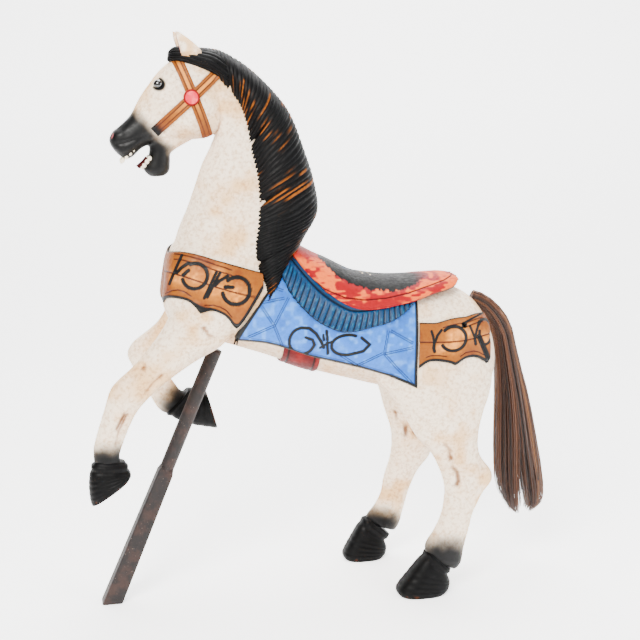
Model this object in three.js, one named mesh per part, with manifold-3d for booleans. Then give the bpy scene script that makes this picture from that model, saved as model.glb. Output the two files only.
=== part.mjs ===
// A rearing carousel horse of carved, painted wood on a slanted iron support rod.
// Millimetres, +Z up, floor at z = 0. The horse faces -X, its left side faces -Y, and the plane
// y = 0 is its middle. The origin lies on the floor under the middle of the whole part.
import * as THREE from "three";
import { mergeVertices } from "three/addons/utils/BufferGeometryUtils.js";
import Module from "manifold-3d";

const wasm = await Module();
wasm.setup();

// Driving sizes
const meetingGap = 0.3; // left between pieces that touch
const floorHeight = 12; // the sections count their heights from this far below the floor
const prismReach = 200; // how far a side-view outline runs to each side of the middle
const blanketLift = 7; // how far each carved layer stands off the body
const ruffleLift = 13;
const saddleLift = 20;
const strapLift = 6;
const girthLift = 6;
const bridleLift = 4;

// Sections. A limb is a row of sections; each one joins two edge points seen from the side,
// [x, z] and [x, z], and is halfWidth wide to each side of its own middle at y = aside.
function section(front, back, halfWidth, aside = 0) {
  return [...front, ...back, halfWidth, aside];
}

const trunk = [
  section([-313, 676], [-317, 636], 20),
  section([-308, 716], [-316, 610], 50),
  section([-292, 745], [-302, 584], 74),
  section([-255, 765], [-262, 568], 90),
  section([-200, 768], [-205, 544], 98),
  section([-120, 745], [-125, 516], 101),
  section([-40, 700], [-45, 485], 102),
  section([50, 658], [45, 458], 104),
  section([130, 646], [125, 436], 104),
  section([205, 645], [200, 425], 105),
  section([262, 635], [260, 420], 100),
  section([305, 608], [305, 420], 84),
  section([335, 560], [335, 425], 58),
  section([352, 515], [353, 450], 24),
];

const neck = [
  section([-228, 1000], [-205, 1085], 34),
  section([-212, 958], [-155, 1060], 39),
  section([-222, 925], [-108, 1010], 43),
  section([-240, 890], [-74, 950], 47),
  section([-256, 845], [-52, 886], 54),
  section([-271, 805], [-44, 822], 64),
  section([-290, 760], [-48, 762], 78),
  section([-304, 700], [-66, 690], 92),
  section([-300, 640], [-90, 620], 92),
];

const head = [
  section([-258, 1108], [-205, 1078], 26),
  section([-284, 1090], [-193, 1010], 39),
  section([-313, 1068], [-202, 964], 46),
  section([-334, 1043], [-226, 943], 46),
  section([-354, 1015], [-262, 938], 40),
  section([-372, 984], [-300, 934], 33),
  section([-395, 962], [-330, 932], 29),
  section([-409, 948], [-352, 924], 30),
  section([-411, 933], [-370, 908], 26),
  section([-400, 916], [-383, 903], 17),
];

const lowerJaw = [
  section([-345, 955], [-258, 938], 27),
  section([-338, 926], [-296, 916], 23),
  section([-342, 903], [-300, 898], 22),
  section([-350, 884], [-302, 881], 21),
  section([-338, 870], [-311, 871], 14),
];

const tongue = [
  section([-346, 908], [-326, 890], 9),
  section([-354, 899], [-346, 884], 8),
  section([-364, 891], [-360, 886], 3),
];

const nearEar = [
  section([-280, 1092], [-228, 1076], 11, -26),
  section([-285, 1112], [-240, 1102], 12, -29),
  section([-288, 1126], [-258, 1120], 8, -31),
  section([-286, 1137], [-279, 1135], 3, -32),
];

const forelock = [
  section([-296, 1102], [-299, 1084], 17),
  section([-280, 1106], [-284, 1078], 28),
  section([-255, 1110], [-255, 1070], 36),
  section([-215, 1104], [-212, 1050], 44),
];

const mane = [
  section([-222, 1064], [-236, 1108], 36),
  section([-203, 1032], [-200, 1102], 47),
  section([-178, 992], [-152, 1074], 53),
  section([-172, 950], [-105, 1031], 56),
  section([-174, 905], [-69, 984], 59),
  section([-170, 862], [-43, 918], 65),
  section([-176, 820], [-24, 858], 72),
  section([-190, 775], [-17, 798], 83),
  section([-186, 738], [-44, 750], 96),
  section([-172, 700], [-68, 710], 107),
  section([-152, 668], [-92, 676], 112),
  section([-138, 642], [-124, 644], 110),
];

// The near legs are the ones on the horse's left, at y below zero.
const nearHindLeg = [
  section([120, 580], [322, 575], 34, -62),
  section([92, 475], [330, 478], 43, -69),
  section([118, 432], [324, 430], 43, -74),
  section([146, 388], [310, 388], 38, -78),
  section([171, 344], [300, 345], 31, -83),
  section([198, 314], [302, 304], 26, -87),
  section([213, 285], [325, 266], 23, -90),
  section([226, 248], [327, 246], 21, -92),
  section([227, 217], [311, 224], 19, -94),
  section([221, 182], [292, 183], 17, -95),
  section([206, 149], [281, 140], 16, -96),
  section([191, 126], [272, 103], 17, -95),
  section([188, 113], [267, 72], 20, -95),
  section([190, 100], [254, 57], 22, -94),
];

const farHindLeg = [
  section([120, 580], [322, 575], 34, 62),
  section([98, 475], [326, 478], 43, 69),
  section([128, 420], [306, 430], 43, 75),
  section([147, 358], [272, 378], 36, 82),
  section([163, 312], [248, 318], 27, 88),
  section([167, 272], [254, 262], 23, 92),
  section([162, 236], [248, 238], 21, 95),
  section([152, 200], [226, 203], 18, 98),
  section([146, 163], [210, 162], 16, 100),
  section([132, 132], [199, 119], 16, 102),
  section([117, 113], [191, 86], 18, 104),
  section([112, 99], [180, 68], 21, 104),
];

const nearForeLeg = [
  section([-285, 655], [-185, 590], 36, -62),
  section([-322, 596], [-216, 552], 33, -66),
  section([-340, 573], [-262, 526], 28, -68),
  section([-366, 541], [-305, 499], 24, -70),
  section([-390, 516], [-338, 474], 22, -70),
  section([-413, 496], [-364, 450], 22, -70),
  section([-431, 476], [-381, 430], 21, -70),
  section([-443, 440], [-393, 408], 18, -70),
  section([-456, 402], [-405, 380], 15, -70),
  section([-467, 364], [-414, 356], 15, -70),
  section([-468, 343], [-418, 341], 17, -70),
  section([-467, 329], [-411, 326], 19, -70),
];

const farForeLeg = [
  section([-285, 640], [-190, 590], 36, 62),
  section([-322, 580], [-230, 535], 31, 66),
  section([-352, 553], [-290, 505], 25, 69),
  section([-378, 533], [-325, 488], 22, 70),
  section([-390, 508], [-328, 484], 21, 70),
  section([-379, 480], [-322, 474], 19, 70),
  section([-362, 446], [-311, 462], 16, 70),
  section([-344, 412], [-298, 446], 15, 70),
  section([-330, 388], [-284, 426], 17, 70),
  section([-312, 378], [-268, 426], 19, 70),
];

// A hoof starts at its coronet and flares to its sole; the last section is the flat sole.
const nearHindHoof = [
  section([196, 106], [244, 62], 21, -94),
  section([184, 93], [237, 52], 27, -94),
  section([156, 58], [242, 36], 32, -93),
  section([132, 25], [239, 20], 36, -92),
  section([136, floorHeight], [231, floorHeight], 34, -92),
];

const farHindHoof = [
  section([117, 107], [168, 62], 20, 104),
  section([101, 93], [157, 50], 25, 105),
  section([80, 57], [161, 34], 29, 106),
  section([64, 25], [158, 20], 32, 106),
  section([68, floorHeight], [151, floorHeight], 31, 106),
];

const nearForeHoof = [
  section([-465, 336], [-408, 332], 19, -70),
  section([-474, 319], [-402, 316], 24, -70),
  section([-478, 292], [-399, 310], 28, -70),
  section([-477, 262], [-398, 304], 32, -70),
  section([-474, 250], [-400, 300], 31, -70),
];

const farForeHoof = [
  section([-316, 384], [-276, 424], 19, 70),
  section([-306, 374], [-262, 431], 24, 70),
  section([-270, 357], [-246, 428], 29, 70),
  section([-222, 346], [-237, 424], 32, 70),
  section([-213, 346], [-233, 420], 31, 70),
];

const tailHair = [
  section([311, 623], [298, 596], 9),
  section([339, 612], [322, 585], 13),
  section([371, 584], [342, 556], 18),
  section([393, 548], [354, 525], 22),
  section([405, 502], [359, 488], 26),
  section([420, 450], [363, 438], 30),
  section([440, 390], [364, 370], 34),
  section([463, 300], [362, 288], 37),
  section([482, 212], [362, 206], 36),
  section([484, 160], [376, 152], 31),
  section([466, 138], [396, 130], 22),
];

// Numbers between four neighbours in a row, by the Catmull-Rom rule.
function between(before, start, end, after, share) {
  const square = share * share;
  const cube = square * share;
  return 0.5 * (2 * start + (end - before) * share
    + (2 * before - 5 * start + 4 * end - after) * square
    + (3 * start - before - 3 * end + after) * cube);
}

// A row of sections with extra ones put between each pair, so that the limb runs smoothly.
function refine(sections, steps) {
  const last = sections.length - 1;
  const pick = (index) => sections[Math.min(Math.max(index, 0), last)];
  const fine = [];
  for (let index = 0; index < last; index++) {
    for (let step = 0; step < steps; step++) {
      fine.push(sections[index].map((value, part) => between(
        pick(index - 1)[part], value, pick(index + 1)[part], pick(index + 2)[part], step / steps)));
    }
  }
  fine.push(sections[last]);
  return fine;
}

// The same row of sections standing off by lift on every side; its two ends move outwards too.
function grow(sections, lift) {
  const grown = sections.map(([frontX, frontZ, backX, backZ, halfWidth, aside]) => {
    const long = Math.hypot(frontX - backX, frontZ - backZ);
    const x = (lift * (frontX - backX)) / long;
    const z = (lift * (frontZ - backZ)) / long;
    return [frontX + x, frontZ + z, backX - x, backZ - z, halfWidth + lift, aside];
  });
  const middle = (piece) => new THREE.Vector2(piece[0] + piece[2], piece[1] + piece[3]);
  for (const [end, next] of [[0, 1], [grown.length - 1, grown.length - 2]]) {
    const out = middle(grown[end]).sub(middle(grown[next])).setLength(lift);
    grown[end] = grown[end].map((value, part) => value + (part < 4 ? out.getComponent(part % 2) : 0));
  }
  return grown;
}

// A closed solid through the sections. boxiness 1 gives ellipses, less gives squarer rings.
// relief(along, around) adds a carved height to a point, both shares running from 0 to 1.
function loft(sections, { sides = 12, steps = 2, boxiness = 1, relief = () => 0 } = {}) {
  const rings = refine(sections, steps);
  const swell = (value) => Math.sign(value) * Math.abs(value) ** boxiness;
  const points = [];
  rings.forEach(([frontX, frontZ, backX, backZ, halfWidth, aside], index) => {
    const long = Math.hypot(frontX - backX, frontZ - backZ);
    for (let side = 0; side < sides; side++) {
      const turn = (2 * Math.PI * side) / sides;
      const raised = relief(index / (rings.length - 1), side / sides);
      const forward = swell(Math.cos(turn)) * (0.5 + raised / long);
      points.push(
        (frontX + backX) / 2 + (frontX - backX) * forward,
        aside + swell(Math.sin(turn)) * (halfWidth + raised),
        (frontZ + backZ) / 2 + (frontZ - backZ) * forward);
    }
  });
  const triangles = [];
  for (let row = 0; row < rings.length - 1; row++) {
    for (let side = 0; side < sides; side++) {
      const next = (side + 1) % sides;
      const [low, lowNext] = [row * sides + side, row * sides + next];
      const [high, highNext] = [low + sides, lowNext + sides];
      triangles.push(low, lowNext, highNext, low, highNext, high);
    }
  }
  const lastRow = (rings.length - 1) * sides;
  for (let side = 1; side < sides - 1; side++) {
    triangles.push(0, side + 1, side, lastRow, lastRow + side, lastRow + side + 1);
  }
  return solid(points, triangles);
}

// A manifold from points and triangles, turned right side out where they run the other way.
function solid(points, triangles) {
  let volume = 0;
  const corner = (index) => new THREE.Vector3().fromArray(points, triangles[index] * 3);
  for (let first = 0; first < triangles.length; first += 3) {
    volume += corner(first).dot(corner(first + 1).cross(corner(first + 2)));
  }
  const facing = volume > 0 ? triangles : triangles.toReversed();
  return new wasm.Manifold(new wasm.Mesh({
    numProp: 3,
    vertProperties: new Float32Array(points),
    triVerts: new Uint32Array(facing),
  }));
}

function fromGeometry(geometry) {
  geometry.deleteAttribute("normal");
  geometry.deleteAttribute("uv");
  const merged = mergeVertices(geometry, 1e-3);
  return solid([...merged.attributes.position.array], [...merged.index.array]);
}

// A side-view outline carried straight through the horse from its left to its right.
function prism(outline, curveSegments = 4) {
  const geometry = new THREE.ExtrudeGeometry(outline, {
    depth: 2 * prismReach, bevelEnabled: false, curveSegments,
  });
  geometry.rotateX(Math.PI / 2);
  geometry.translate(0, prismReach, 0);
  return fromGeometry(geometry);
}

function join(solids) {
  return solids.reduce((whole, next) => whole.add(next));
}

function mirrored(sections) {
  return sections.map((numbers) => [...numbers.slice(0, 5), -numbers[5]]);
}

const bodyShape = { sides: 24, steps: 2, boxiness: 0.88 };
const legShape = { sides: 10, steps: 1 };
const hoofShape = { sides: 14, steps: 1, boxiness: 0.78 };

function body(lift) {
  return join([
    loft(grow(trunk, lift), bodyShape),
    loft(grow(neck, lift), { sides: 16, steps: 1, boxiness: 0.95 }),
  ]);
}

function legs() {
  const parts = [nearHindLeg, farHindLeg, nearForeLeg, farForeLeg].map((leg) => loft(leg, legShape));
  const hooves = [nearHindHoof, farHindHoof, nearForeHoof, farForeHoof];
  return join([...parts, ...hooves.map((hoof) => loft(hoof, hoofShape))]);
}

// Head with the lower jaw dropped open, both ears, eyes and the nostrils cut in.
function headAndEars() {
  const eyes = [-1, 1].flatMap((side) => [
    new THREE.SphereGeometry(21, 12, 8).translate(-306, 25 * side, 1035),
    new THREE.SphereGeometry(9, 10, 6).translate(-320, 30 * side, 1042),
  ]);
  const parts = [
    loft(head, { sides: 16, steps: 2, boxiness: 0.92 }),
    loft(lowerJaw, { sides: 10, steps: 1 }),
    loft(tongue, { sides: 8, steps: 1 }),
    loft(nearEar, { sides: 8, steps: 1 }),
    loft(mirrored(nearEar), { sides: 8, steps: 1 }),
    loft(forelock, { sides: 12, steps: 1, relief: (along, around) => 2 * Math.cos(12 * Math.PI * around) }),
    ...eyes.map(fromGeometry),
  ];
  return join(parts);
}

// Locks of the mane: ridges that run from the crest forward and down along the neck.
function maneLocks() {
  const locks = 15;
  const sweep = 3.4;
  const depth = 4;
  return loft(mane, {
    sides: 30,
    steps: 2,
    relief: (along, around) => {
      const fromCrest = Math.abs(2 * around - 1);
      return depth * (Math.cos(2 * Math.PI * along * (locks - fromCrest * sweep)) - 1);
    },
  });
}

function outlineFrom(start, pieces) {
  const shape = new THREE.Shape();
  shape.moveTo(...start);
  pieces.forEach((numbers) => {
    if (numbers.length === 4) shape.quadraticCurveTo(...numbers);
    else shape.lineTo(...numbers);
  });
  return shape;
}

// Side-view outlines: a row of two numbers is a straight edge to that point, a row of four is a
// bend by its first point to its second.
function breastStrap() {
  const outline = outlineFrom([-340, 742], [
    [-262, 745, -166, 704], [-138, 666], [-189, 575], [-206, 628, -259, 621],
    [-270, 654, -298, 650], [-314, 638, -340, 628],
  ]);
  return body(strapLift).intersect(prism(outline));
}

function rumpStrap() {
  const outline = outlineFrom([160, 583], [
    [168, 496], [205, 514, 237, 496], [272, 522, 308, 497], [324, 520, 323, 560], [321, 597],
    [280, 598, 240, 589], [200, 580, 160, 583],
  ]);
  return body(strapLift).intersect(prism(outline));
}

function blanket() {
  const outline = outlineFrom([-191, 567], [
    [-136, 558], [-40, 530, 48, 502], [110, 480, 161, 456], [158, 530, 164, 614], [100, 720],
    [-110, 720],
  ]);
  return body(blanketLift).intersect(prism(outline));
}

// A pleated ruffle below the saddle; its pleats are upright waves along the horse.
function ruffle() {
  const pleats = 26;
  const depth = 2.5;
  const shape = {
    ...bodyShape,
    steps: 4,
    relief: (along) => depth * Math.cos(2 * Math.PI * along * pleats),
  };
  const outline = outlineFrom([-112, 690], [
    [-97, 663], [-52, 596, 14, 576], [60, 570, 104, 587], [140, 598, 163, 619], [140, 700],
    [-60, 760],
  ]);
  return loft(grow(trunk, ruffleLift), shape).intersect(prism(outline));
}

function saddle() {
  const outline = outlineFrom([-86, 724], [
    [-72, 710], [-28, 648, 36, 621], [62, 611, 110, 619], [180, 631, 254, 643],
    [274, 646, 268, 672], [120, 720], [-40, 760],
  ]);
  return loft(grow(trunk, saddleLift), bodyShape).intersect(prism(outline));
}

function girth() {
  const outline = outlineFrom([-98, 440], [[-28, 440], [-28, 560], [-98, 560]]);
  return loft(grow(trunk, girthLift), bodyShape).intersect(prism(outline));
}

// Two crossed cheek straps with a rosette where they cross, on both sides of the head.
function bridle() {
  const strap = (from, to, width) => {
    const along = new THREE.Vector2(to[0] - from[0], to[1] - from[1]).setLength(width / 2);
    return prism(outlineFrom([from[0] - along.y, from[1] + along.x], [
      [to[0] - along.y, to[1] + along.x], [to[0] + along.y, to[1] - along.x],
      [from[0] + along.y, from[1] - along.x],
    ]));
  };
  const straps = join([
    strap([-284, 1086], [-228, 936], 20),
    strap([-208, 1064], [-330, 955], 20),
  ]).intersect(loft(grow(head, bridleLift), { sides: 16, steps: 2, boxiness: 0.92 }));
  const rosette = new THREE.CylinderGeometry(14, 15, 110, 16).translate(-262, 0, 1018);
  return straps.add(fromGeometry(rosette));
}

function horseSolid() {
  return join([
    body(0), legs(), headAndEars(), bridle(), maneLocks(), breastStrap(), rumpStrap(),
    blanket(), ruffle(), saddle(), girth(),
  ]);
}

// The support: a tapered square bar below, a round pipe above, both along one slanted line.
const rodSlant = 23.1; // degrees off upright
const rodFootX = -441;
const barFootWidth = 38;
const barTopWidth = 31;
const barLength = 290;
const shoulder = 12;
const pipeRadius = 14;
const pipeLength = 290;
const belowFloor = 40; // cut off flat at the floor

function rodSolid() {
  const upright = (bottomRadius, topRadius, from, to, sides) => {
    const geometry = new THREE.CylinderGeometry(topRadius, bottomRadius, to - from, sides);
    geometry.rotateY(Math.PI / 4).rotateX(Math.PI / 2).translate(0, 0, (from + to) / 2);
    return fromGeometry(geometry);
  };
  const corner = Math.SQRT1_2; // half a side, measured to the corner
  const whole = join([
    upright(barFootWidth * corner, barTopWidth * corner, -belowFloor, barLength, 4),
    upright(barTopWidth * corner, pipeRadius * 0.9, barLength, barLength + shoulder, 4),
    upright(pipeRadius, pipeRadius, barLength - shoulder, barLength + pipeLength, 16),
  ]).rotate([0, rodSlant, 0]).translate([rodFootX, 0, floorHeight]);
  const floor = new THREE.BoxGeometry(400, 200, 200).translate(rodFootX, 0, floorHeight - 100);
  return whole.subtract(fromGeometry(floor)).subtract(body(meetingGap));
}

function tailSolid() {
  const strands = 14;
  const hair = loft(tailHair, {
    sides: 28,
    steps: 2,
    relief: (along, around) => 3 * along * Math.cos(2 * Math.PI * around * strands),
  });
  const clearOf = [
    loft(grow(trunk, strapLift + meetingGap), bodyShape),
    loft(grow(nearHindLeg, meetingGap), legShape),
    loft(grow(farHindLeg, meetingGap), legShape),
  ];
  return hair.subtract(join(clearOf));
}

function meshFrom(name, manifold, material) {
  const { vertProperties, triVerts } = manifold.getMesh();
  const geometry = new THREE.BufferGeometry();
  geometry.setAttribute("position", new THREE.BufferAttribute(vertProperties, 3));
  geometry.setIndex(new THREE.BufferAttribute(triVerts, 1));
  geometry.computeVertexNormals();
  const mesh = new THREE.Mesh(geometry, new THREE.MeshStandardMaterial(material));
  mesh.name = name;
  return mesh;
}

const part = new THREE.Group();
part.add(
  meshFrom("horse", horseSolid(), { color: "#e2d8c4", roughness: 0.45, metalness: 0 }),
  meshFrom("tail", tailSolid(), { color: "#7b5430", roughness: 0.75, metalness: 0 }),
  meshFrom("support_rod", rodSolid(), { color: "#33241f", roughness: 0.7, metalness: 0.6 }),
);

part.position.z = -floorHeight;

export default part;
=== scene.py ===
# Carousel horse of carved, painted wood on a slanted iron rod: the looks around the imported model.
import math

import bpy
import numpy as np
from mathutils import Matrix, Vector


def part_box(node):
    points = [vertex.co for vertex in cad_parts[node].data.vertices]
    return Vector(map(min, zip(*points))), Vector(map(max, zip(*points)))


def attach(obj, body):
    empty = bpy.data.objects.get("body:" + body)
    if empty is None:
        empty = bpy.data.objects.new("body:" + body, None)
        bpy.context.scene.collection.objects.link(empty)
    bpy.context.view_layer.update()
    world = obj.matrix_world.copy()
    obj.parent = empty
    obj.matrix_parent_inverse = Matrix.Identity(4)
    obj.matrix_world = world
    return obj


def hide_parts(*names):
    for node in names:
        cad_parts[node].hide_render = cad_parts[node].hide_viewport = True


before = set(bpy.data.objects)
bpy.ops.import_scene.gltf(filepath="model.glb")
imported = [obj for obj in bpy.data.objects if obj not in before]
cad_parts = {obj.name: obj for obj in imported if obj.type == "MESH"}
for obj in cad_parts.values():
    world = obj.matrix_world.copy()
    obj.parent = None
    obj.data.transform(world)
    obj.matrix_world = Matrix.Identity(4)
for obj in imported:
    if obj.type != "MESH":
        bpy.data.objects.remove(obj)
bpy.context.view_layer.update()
rng = np.random.default_rng(7)

# All shapes are worked out in carving millimetres and brought to the frame's metres in one place.
carving = {
    "height": 1125.0,  # soles to ear tips
    "floor": 12.0,  # mark of the floor on the carver's own scale
}
horseLow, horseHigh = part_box("horse")
mm = (horseHigh[2] - horseLow[2]) / carving["height"]
scene = bpy.context.scene


def toMetres(points):
    return (np.asarray(points, float) - [0, 0, carving["floor"]]) * mm


def srgb(code):
    # each channel c of the hex colour: ((c + 0.055) / 1.055) ** 2.4 above 0.04045, c / 12.92 below
    parts = np.array([int(code[i:i + 2], 16) for i in (1, 3, 5)]) / 255
    return np.where(parts > 0.04045, ((parts + 0.055) / 1.055) ** 2.4, parts / 12.92)


def ramp(value, start, end):
    # smooth step from 0 at start to 1 at end: s * s * (3 - 2 s)
    s = np.clip((value - start) / (end - start), 0, 1)
    return s * s * (3 - 2 * s)


def buildMesh(name, points, quads, triangles=None, values=None, colors=None):
    mesh = bpy.data.meshes.new(name)
    triangles = np.zeros((0, 3), int) if triangles is None else np.asarray(triangles)
    corners = np.concatenate([np.ravel(quads), np.ravel(triangles)]).astype(np.int32)
    quadCount = len(quads)
    starts = np.concatenate([np.arange(quadCount) * 4, 4 * quadCount + np.arange(len(triangles))
                             * 3])
    mesh.vertices.add(len(points))
    mesh.vertices.foreach_set("co", toMetres(points).ravel())
    mesh.loops.add(len(corners))
    mesh.loops.foreach_set("vertex_index", corners)
    mesh.polygons.add(len(starts))
    mesh.polygons.foreach_set("loop_start", starts.astype(np.int32))
    mesh.update(calc_edges=True)
    mesh.polygons.foreach_set("use_smooth", np.ones(len(starts), bool))
    for key, array in (values or {}).items():
        mesh.attributes.new(key, "FLOAT", "POINT").data.foreach_set("value", np.ravel(array))
    for key, array in (colors or {}).items():
        rgba = np.concatenate([array, np.ones((len(array), 1))], 1)
        mesh.attributes.new(key, "FLOAT_COLOR", "POINT").data.foreach_set("color", rgba.ravel())
    return mesh


def placeMesh(mesh, name=None):
    piece = bpy.data.objects.new(name or mesh.name, mesh)
    scene.collection.objects.link(piece)
    return piece


def gridQuads(rows, columns, closed=False, first=0):
    # corner numbers of every cell of a grid, closed round its columns where asked
    row, column = np.meshgrid(np.arange(rows - 1), np.arange(columns - (not closed)),
                              indexing="ij")
    nextColumn = (column + 1) % columns
    cells = [row * columns + column, row * columns + nextColumn,
             (row + 1) * columns + nextColumn, (row + 1) * columns + column]
    return np.stack(cells, -1).reshape(-1, 4) + first


def turnedOut(points, quads, triangles):
    # the enclosed volume, sum of a . (b x c) / 6 over the faces, is positive when faces point out
    allTriangles = np.concatenate([quads[:, [0, 1, 2]], quads[:, [0, 2, 3]], triangles])
    a, b, c = (points[allTriangles[:, i]] for i in range(3))
    if np.einsum("ij,ij->", a, np.cross(b, c)) < 0:
        return quads[:, ::-1], triangles[:, ::-1]
    return quads, triangles


def closedGrid(grid):
    # a tube of rings with a middle point closing each end
    rows, columns = grid.shape[:2]
    points = np.concatenate([grid.reshape(-1, 3), grid[0].mean(0)[None], grid[-1].mean(0)[None]])
    quads = gridQuads(rows, columns, closed=True)
    around = np.arange(columns)
    following = (around + 1) % columns
    start, end = rows * columns, rows * columns + 1
    last = (rows - 1) * columns
    fans = [np.stack([np.full(columns, start), following, around], 1),
            np.stack([np.full(columns, end), around + last, following + last], 1)]
    quads, triangles = turnedOut(points, quads, np.concatenate(fans))
    return points, quads, triangles


def joinParts(parts):
    points, quads, triangles, count = [], [], [], 0
    for partPoints, partQuads, partTriangles in parts:
        points.append(partPoints)
        quads.append(partQuads + count)
        triangles.append(partTriangles + count)
        count += len(partPoints)
    return np.concatenate(points), np.concatenate(quads), np.concatenate(triangles)


def meshArrays(mesh):
    points = np.empty(len(mesh.vertices) * 3)
    mesh.vertices.foreach_get("co", points)
    edges = np.empty(len(mesh.edges) * 2, np.int32)
    mesh.edges.foreach_get("vertices", edges)
    corners = np.empty(len(mesh.loops), np.int32)
    mesh.loops.foreach_get("vertex_index", corners)
    totals = np.empty(len(mesh.polygons), np.int32)
    mesh.polygons.foreach_get("loop_total", totals)
    starts = np.cumsum(totals) - totals
    quads = corners[starts[totals == 4][:, None] + np.arange(4)]
    triangles = corners[starts[totals == 3][:, None] + np.arange(3)]
    points = points.reshape(-1, 3) / mm + [0, 0, carving["floor"]]
    return points, edges.reshape(-1, 2), quads, triangles


def fuse(parts, voxel):
    # one skin round all the closed parts, on a lattice of the given cell size
    piece = placeMesh(buildMesh("fused", *joinParts(parts)))
    remesh = piece.modifiers.new("skin", "REMESH")
    remesh.mode = "VOXEL"
    remesh.voxel_size = voxel * mm
    evaluated = piece.evaluated_get(bpy.context.evaluated_depsgraph_get())
    result = meshArrays(evaluated.to_mesh())
    evaluated.to_mesh_clear()
    bpy.data.objects.remove(piece)
    return result


def relax(values, edges, rounds, share=0.5):
    # each round moves a point by share towards the mean of its neighbours
    values = np.array(values, float)
    count = len(values)
    flat = values.reshape(count, -1)
    both = np.concatenate([edges, edges[:, ::-1]])
    degree = np.maximum(np.bincount(both[:, 0], minlength=count), 1)
    for _ in range(rounds):
        for axis in range(flat.shape[1]):
            total = np.bincount(both[:, 0], flat[both[:, 1], axis], count)
            flat[:, axis] += share * (total / degree - flat[:, axis])
    return flat.reshape(values.shape)


def pointNormals(points, quads, triangles=None):
    # sum of the face normals (diagonal x diagonal) round each point
    faces = [(quads, np.cross(points[quads[:, 2]] - points[quads[:, 0]],
                              points[quads[:, 3]] - points[quads[:, 1]]))]
    if triangles is not None and len(triangles):
        a, b, c = (points[triangles[:, i]] for i in range(3))
        faces.append((triangles, np.cross(b - a, c - a)))
    normals = np.zeros_like(points)
    for corners, facing in faces:
        for column in range(corners.shape[1]):
            for axis in range(3):
                normals[:, axis] += np.bincount(corners[:, column], facing[:, axis], len(points))
    return normals / np.maximum(np.linalg.norm(normals, axis=1, keepdims=True), 1e-9)


def section(front, back, halfWidth, aside=0.0):
    return [*front, *back, halfWidth, aside]


def alongSections(sections, count):
    # Catmull-Rom between neighbours p0 p1 p2 p3 of each number, at count even steps:
    # (2 p1 + (p2 - p0) t + (2 p0 - 5 p1 + 4 p2 - p3) t^2 + (3 p1 - p0 - 3 p2 + p3) t^3) / 2
    table = np.array(sections, float)
    last = len(table) - 1
    place = np.linspace(0, last, count)
    index = np.minimum(place.astype(int), last - 1)
    t = (place - index)[:, None]
    p0, p1, p2, p3 = (table[np.clip(index + step, 0, last)] for step in (-1, 0, 1, 2))
    return 0.5 * (2 * p1 + (p2 - p0) * t + (2 * p0 - 5 * p1 + 4 * p2 - p3) * t ** 2
                  + (3 * p1 - p0 - 3 * p2 + p3) * t ** 3)


def loftGrid(sections, count, sides, boxiness=1.0):
    # ring point at angle a: middle + half of the edge line * cos(a)^b, and halfWidth * sin(a)^b
    # aside
    rows = alongSections(sections, count)[:, None, :]
    turn = np.linspace(0, 2 * np.pi, sides, endpoint=False)[None, :]
    across = np.sign(np.cos(turn)) * np.abs(np.cos(turn)) ** boxiness
    out = np.sign(np.sin(turn)) * np.abs(np.sin(turn)) ** boxiness
    frontX, frontZ, backX, backZ, halfWidth, aside = (rows[..., i] for i in range(6))
    return np.stack([
        (frontX + backX) / 2 + (frontX - backX) / 2 * across,
        aside + halfWidth * out,
        (frontZ + backZ) / 2 + (frontZ - backZ) / 2 * across,
    ], -1)


def mirrored(sections):
    return [[*numbers[:5], -numbers[5]] for numbers in sections]


def swell(points, at, size, height):
    # height * exp(-|(p - at) / size|^2)
    return height * np.exp(-(((points - at) / size) ** 2).sum(1))


def lineDistance(points, path):
    # shortest distance to the straight runs of the path, with the share along it
    path = np.array(path, float)
    best = np.full(len(points), 1e9)
    share = np.zeros(len(points))
    for number, (start, end) in enumerate(zip(path[:-1], path[1:])):
        run = end - start
        t = np.clip((points - start) @ run / (run @ run), 0, 1)
        distance = np.linalg.norm(points - start - t[:, None] * run, axis=1)
        nearer = distance < best
        best = np.where(nearer, distance, best)
        share = np.where(nearer, (number + t) / (len(path) - 1), share)
    return best, share


def furrow(points, path, width, depth, taper=0.25):
    # -depth * exp(-(distance / width)^2), fading over the share taper at both ends
    distance, share = lineDistance(points, path)
    fade = ramp(share, 0, taper) * ramp(1 - share, 0, taper) if taper else 1.0
    return -depth * fade * np.exp(-(distance / width) ** 2)


trunk = [
    section([-313, 676], [-317, 636], 20),
    section([-308, 716], [-316, 610], 50),
    section([-292, 745], [-302, 584], 74),
    section([-255, 765], [-262, 568], 90),
    section([-200, 768], [-205, 544], 98),
    section([-120, 745], [-125, 516], 101),
    section([-40, 700], [-45, 485], 102),
    section([50, 658], [45, 458], 104),
    section([130, 646], [125, 436], 104),
    section([205, 645], [200, 425], 105),
    section([262, 635], [260, 420], 100),
    section([305, 608], [305, 420], 84),
    section([335, 560], [335, 425], 58),
    section([352, 515], [353, 450], 24),
]
neck = [
    section([-228, 1000], [-205, 1085], 34),
    section([-212, 958], [-155, 1060], 39),
    section([-222, 925], [-108, 1010], 43),
    section([-240, 890], [-74, 950], 47),
    section([-256, 845], [-52, 886], 54),
    section([-271, 805], [-44, 822], 64),
    section([-290, 760], [-48, 762], 78),
    section([-304, 700], [-66, 690], 92),
    section([-300, 640], [-90, 620], 92),
]
head = [
    section([-258, 1108], [-205, 1078], 26),
    section([-284, 1090], [-193, 1010], 39),
    section([-313, 1068], [-202, 964], 46),
    section([-334, 1043], [-226, 943], 46),
    section([-354, 1015], [-262, 938], 40),
    section([-372, 984], [-300, 934], 33),
    section([-395, 962], [-330, 932], 29),
    section([-409, 948], [-352, 924], 30),
    section([-411, 933], [-370, 908], 26),
    section([-400, 916], [-383, 903], 17),
]
lowerJaw = [
    section([-345, 955], [-258, 938], 27),
    section([-338, 926], [-296, 916], 23),
    section([-342, 903], [-300, 898], 22),
    section([-350, 884], [-302, 881], 21),
    section([-338, 870], [-311, 871], 14),
]
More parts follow.
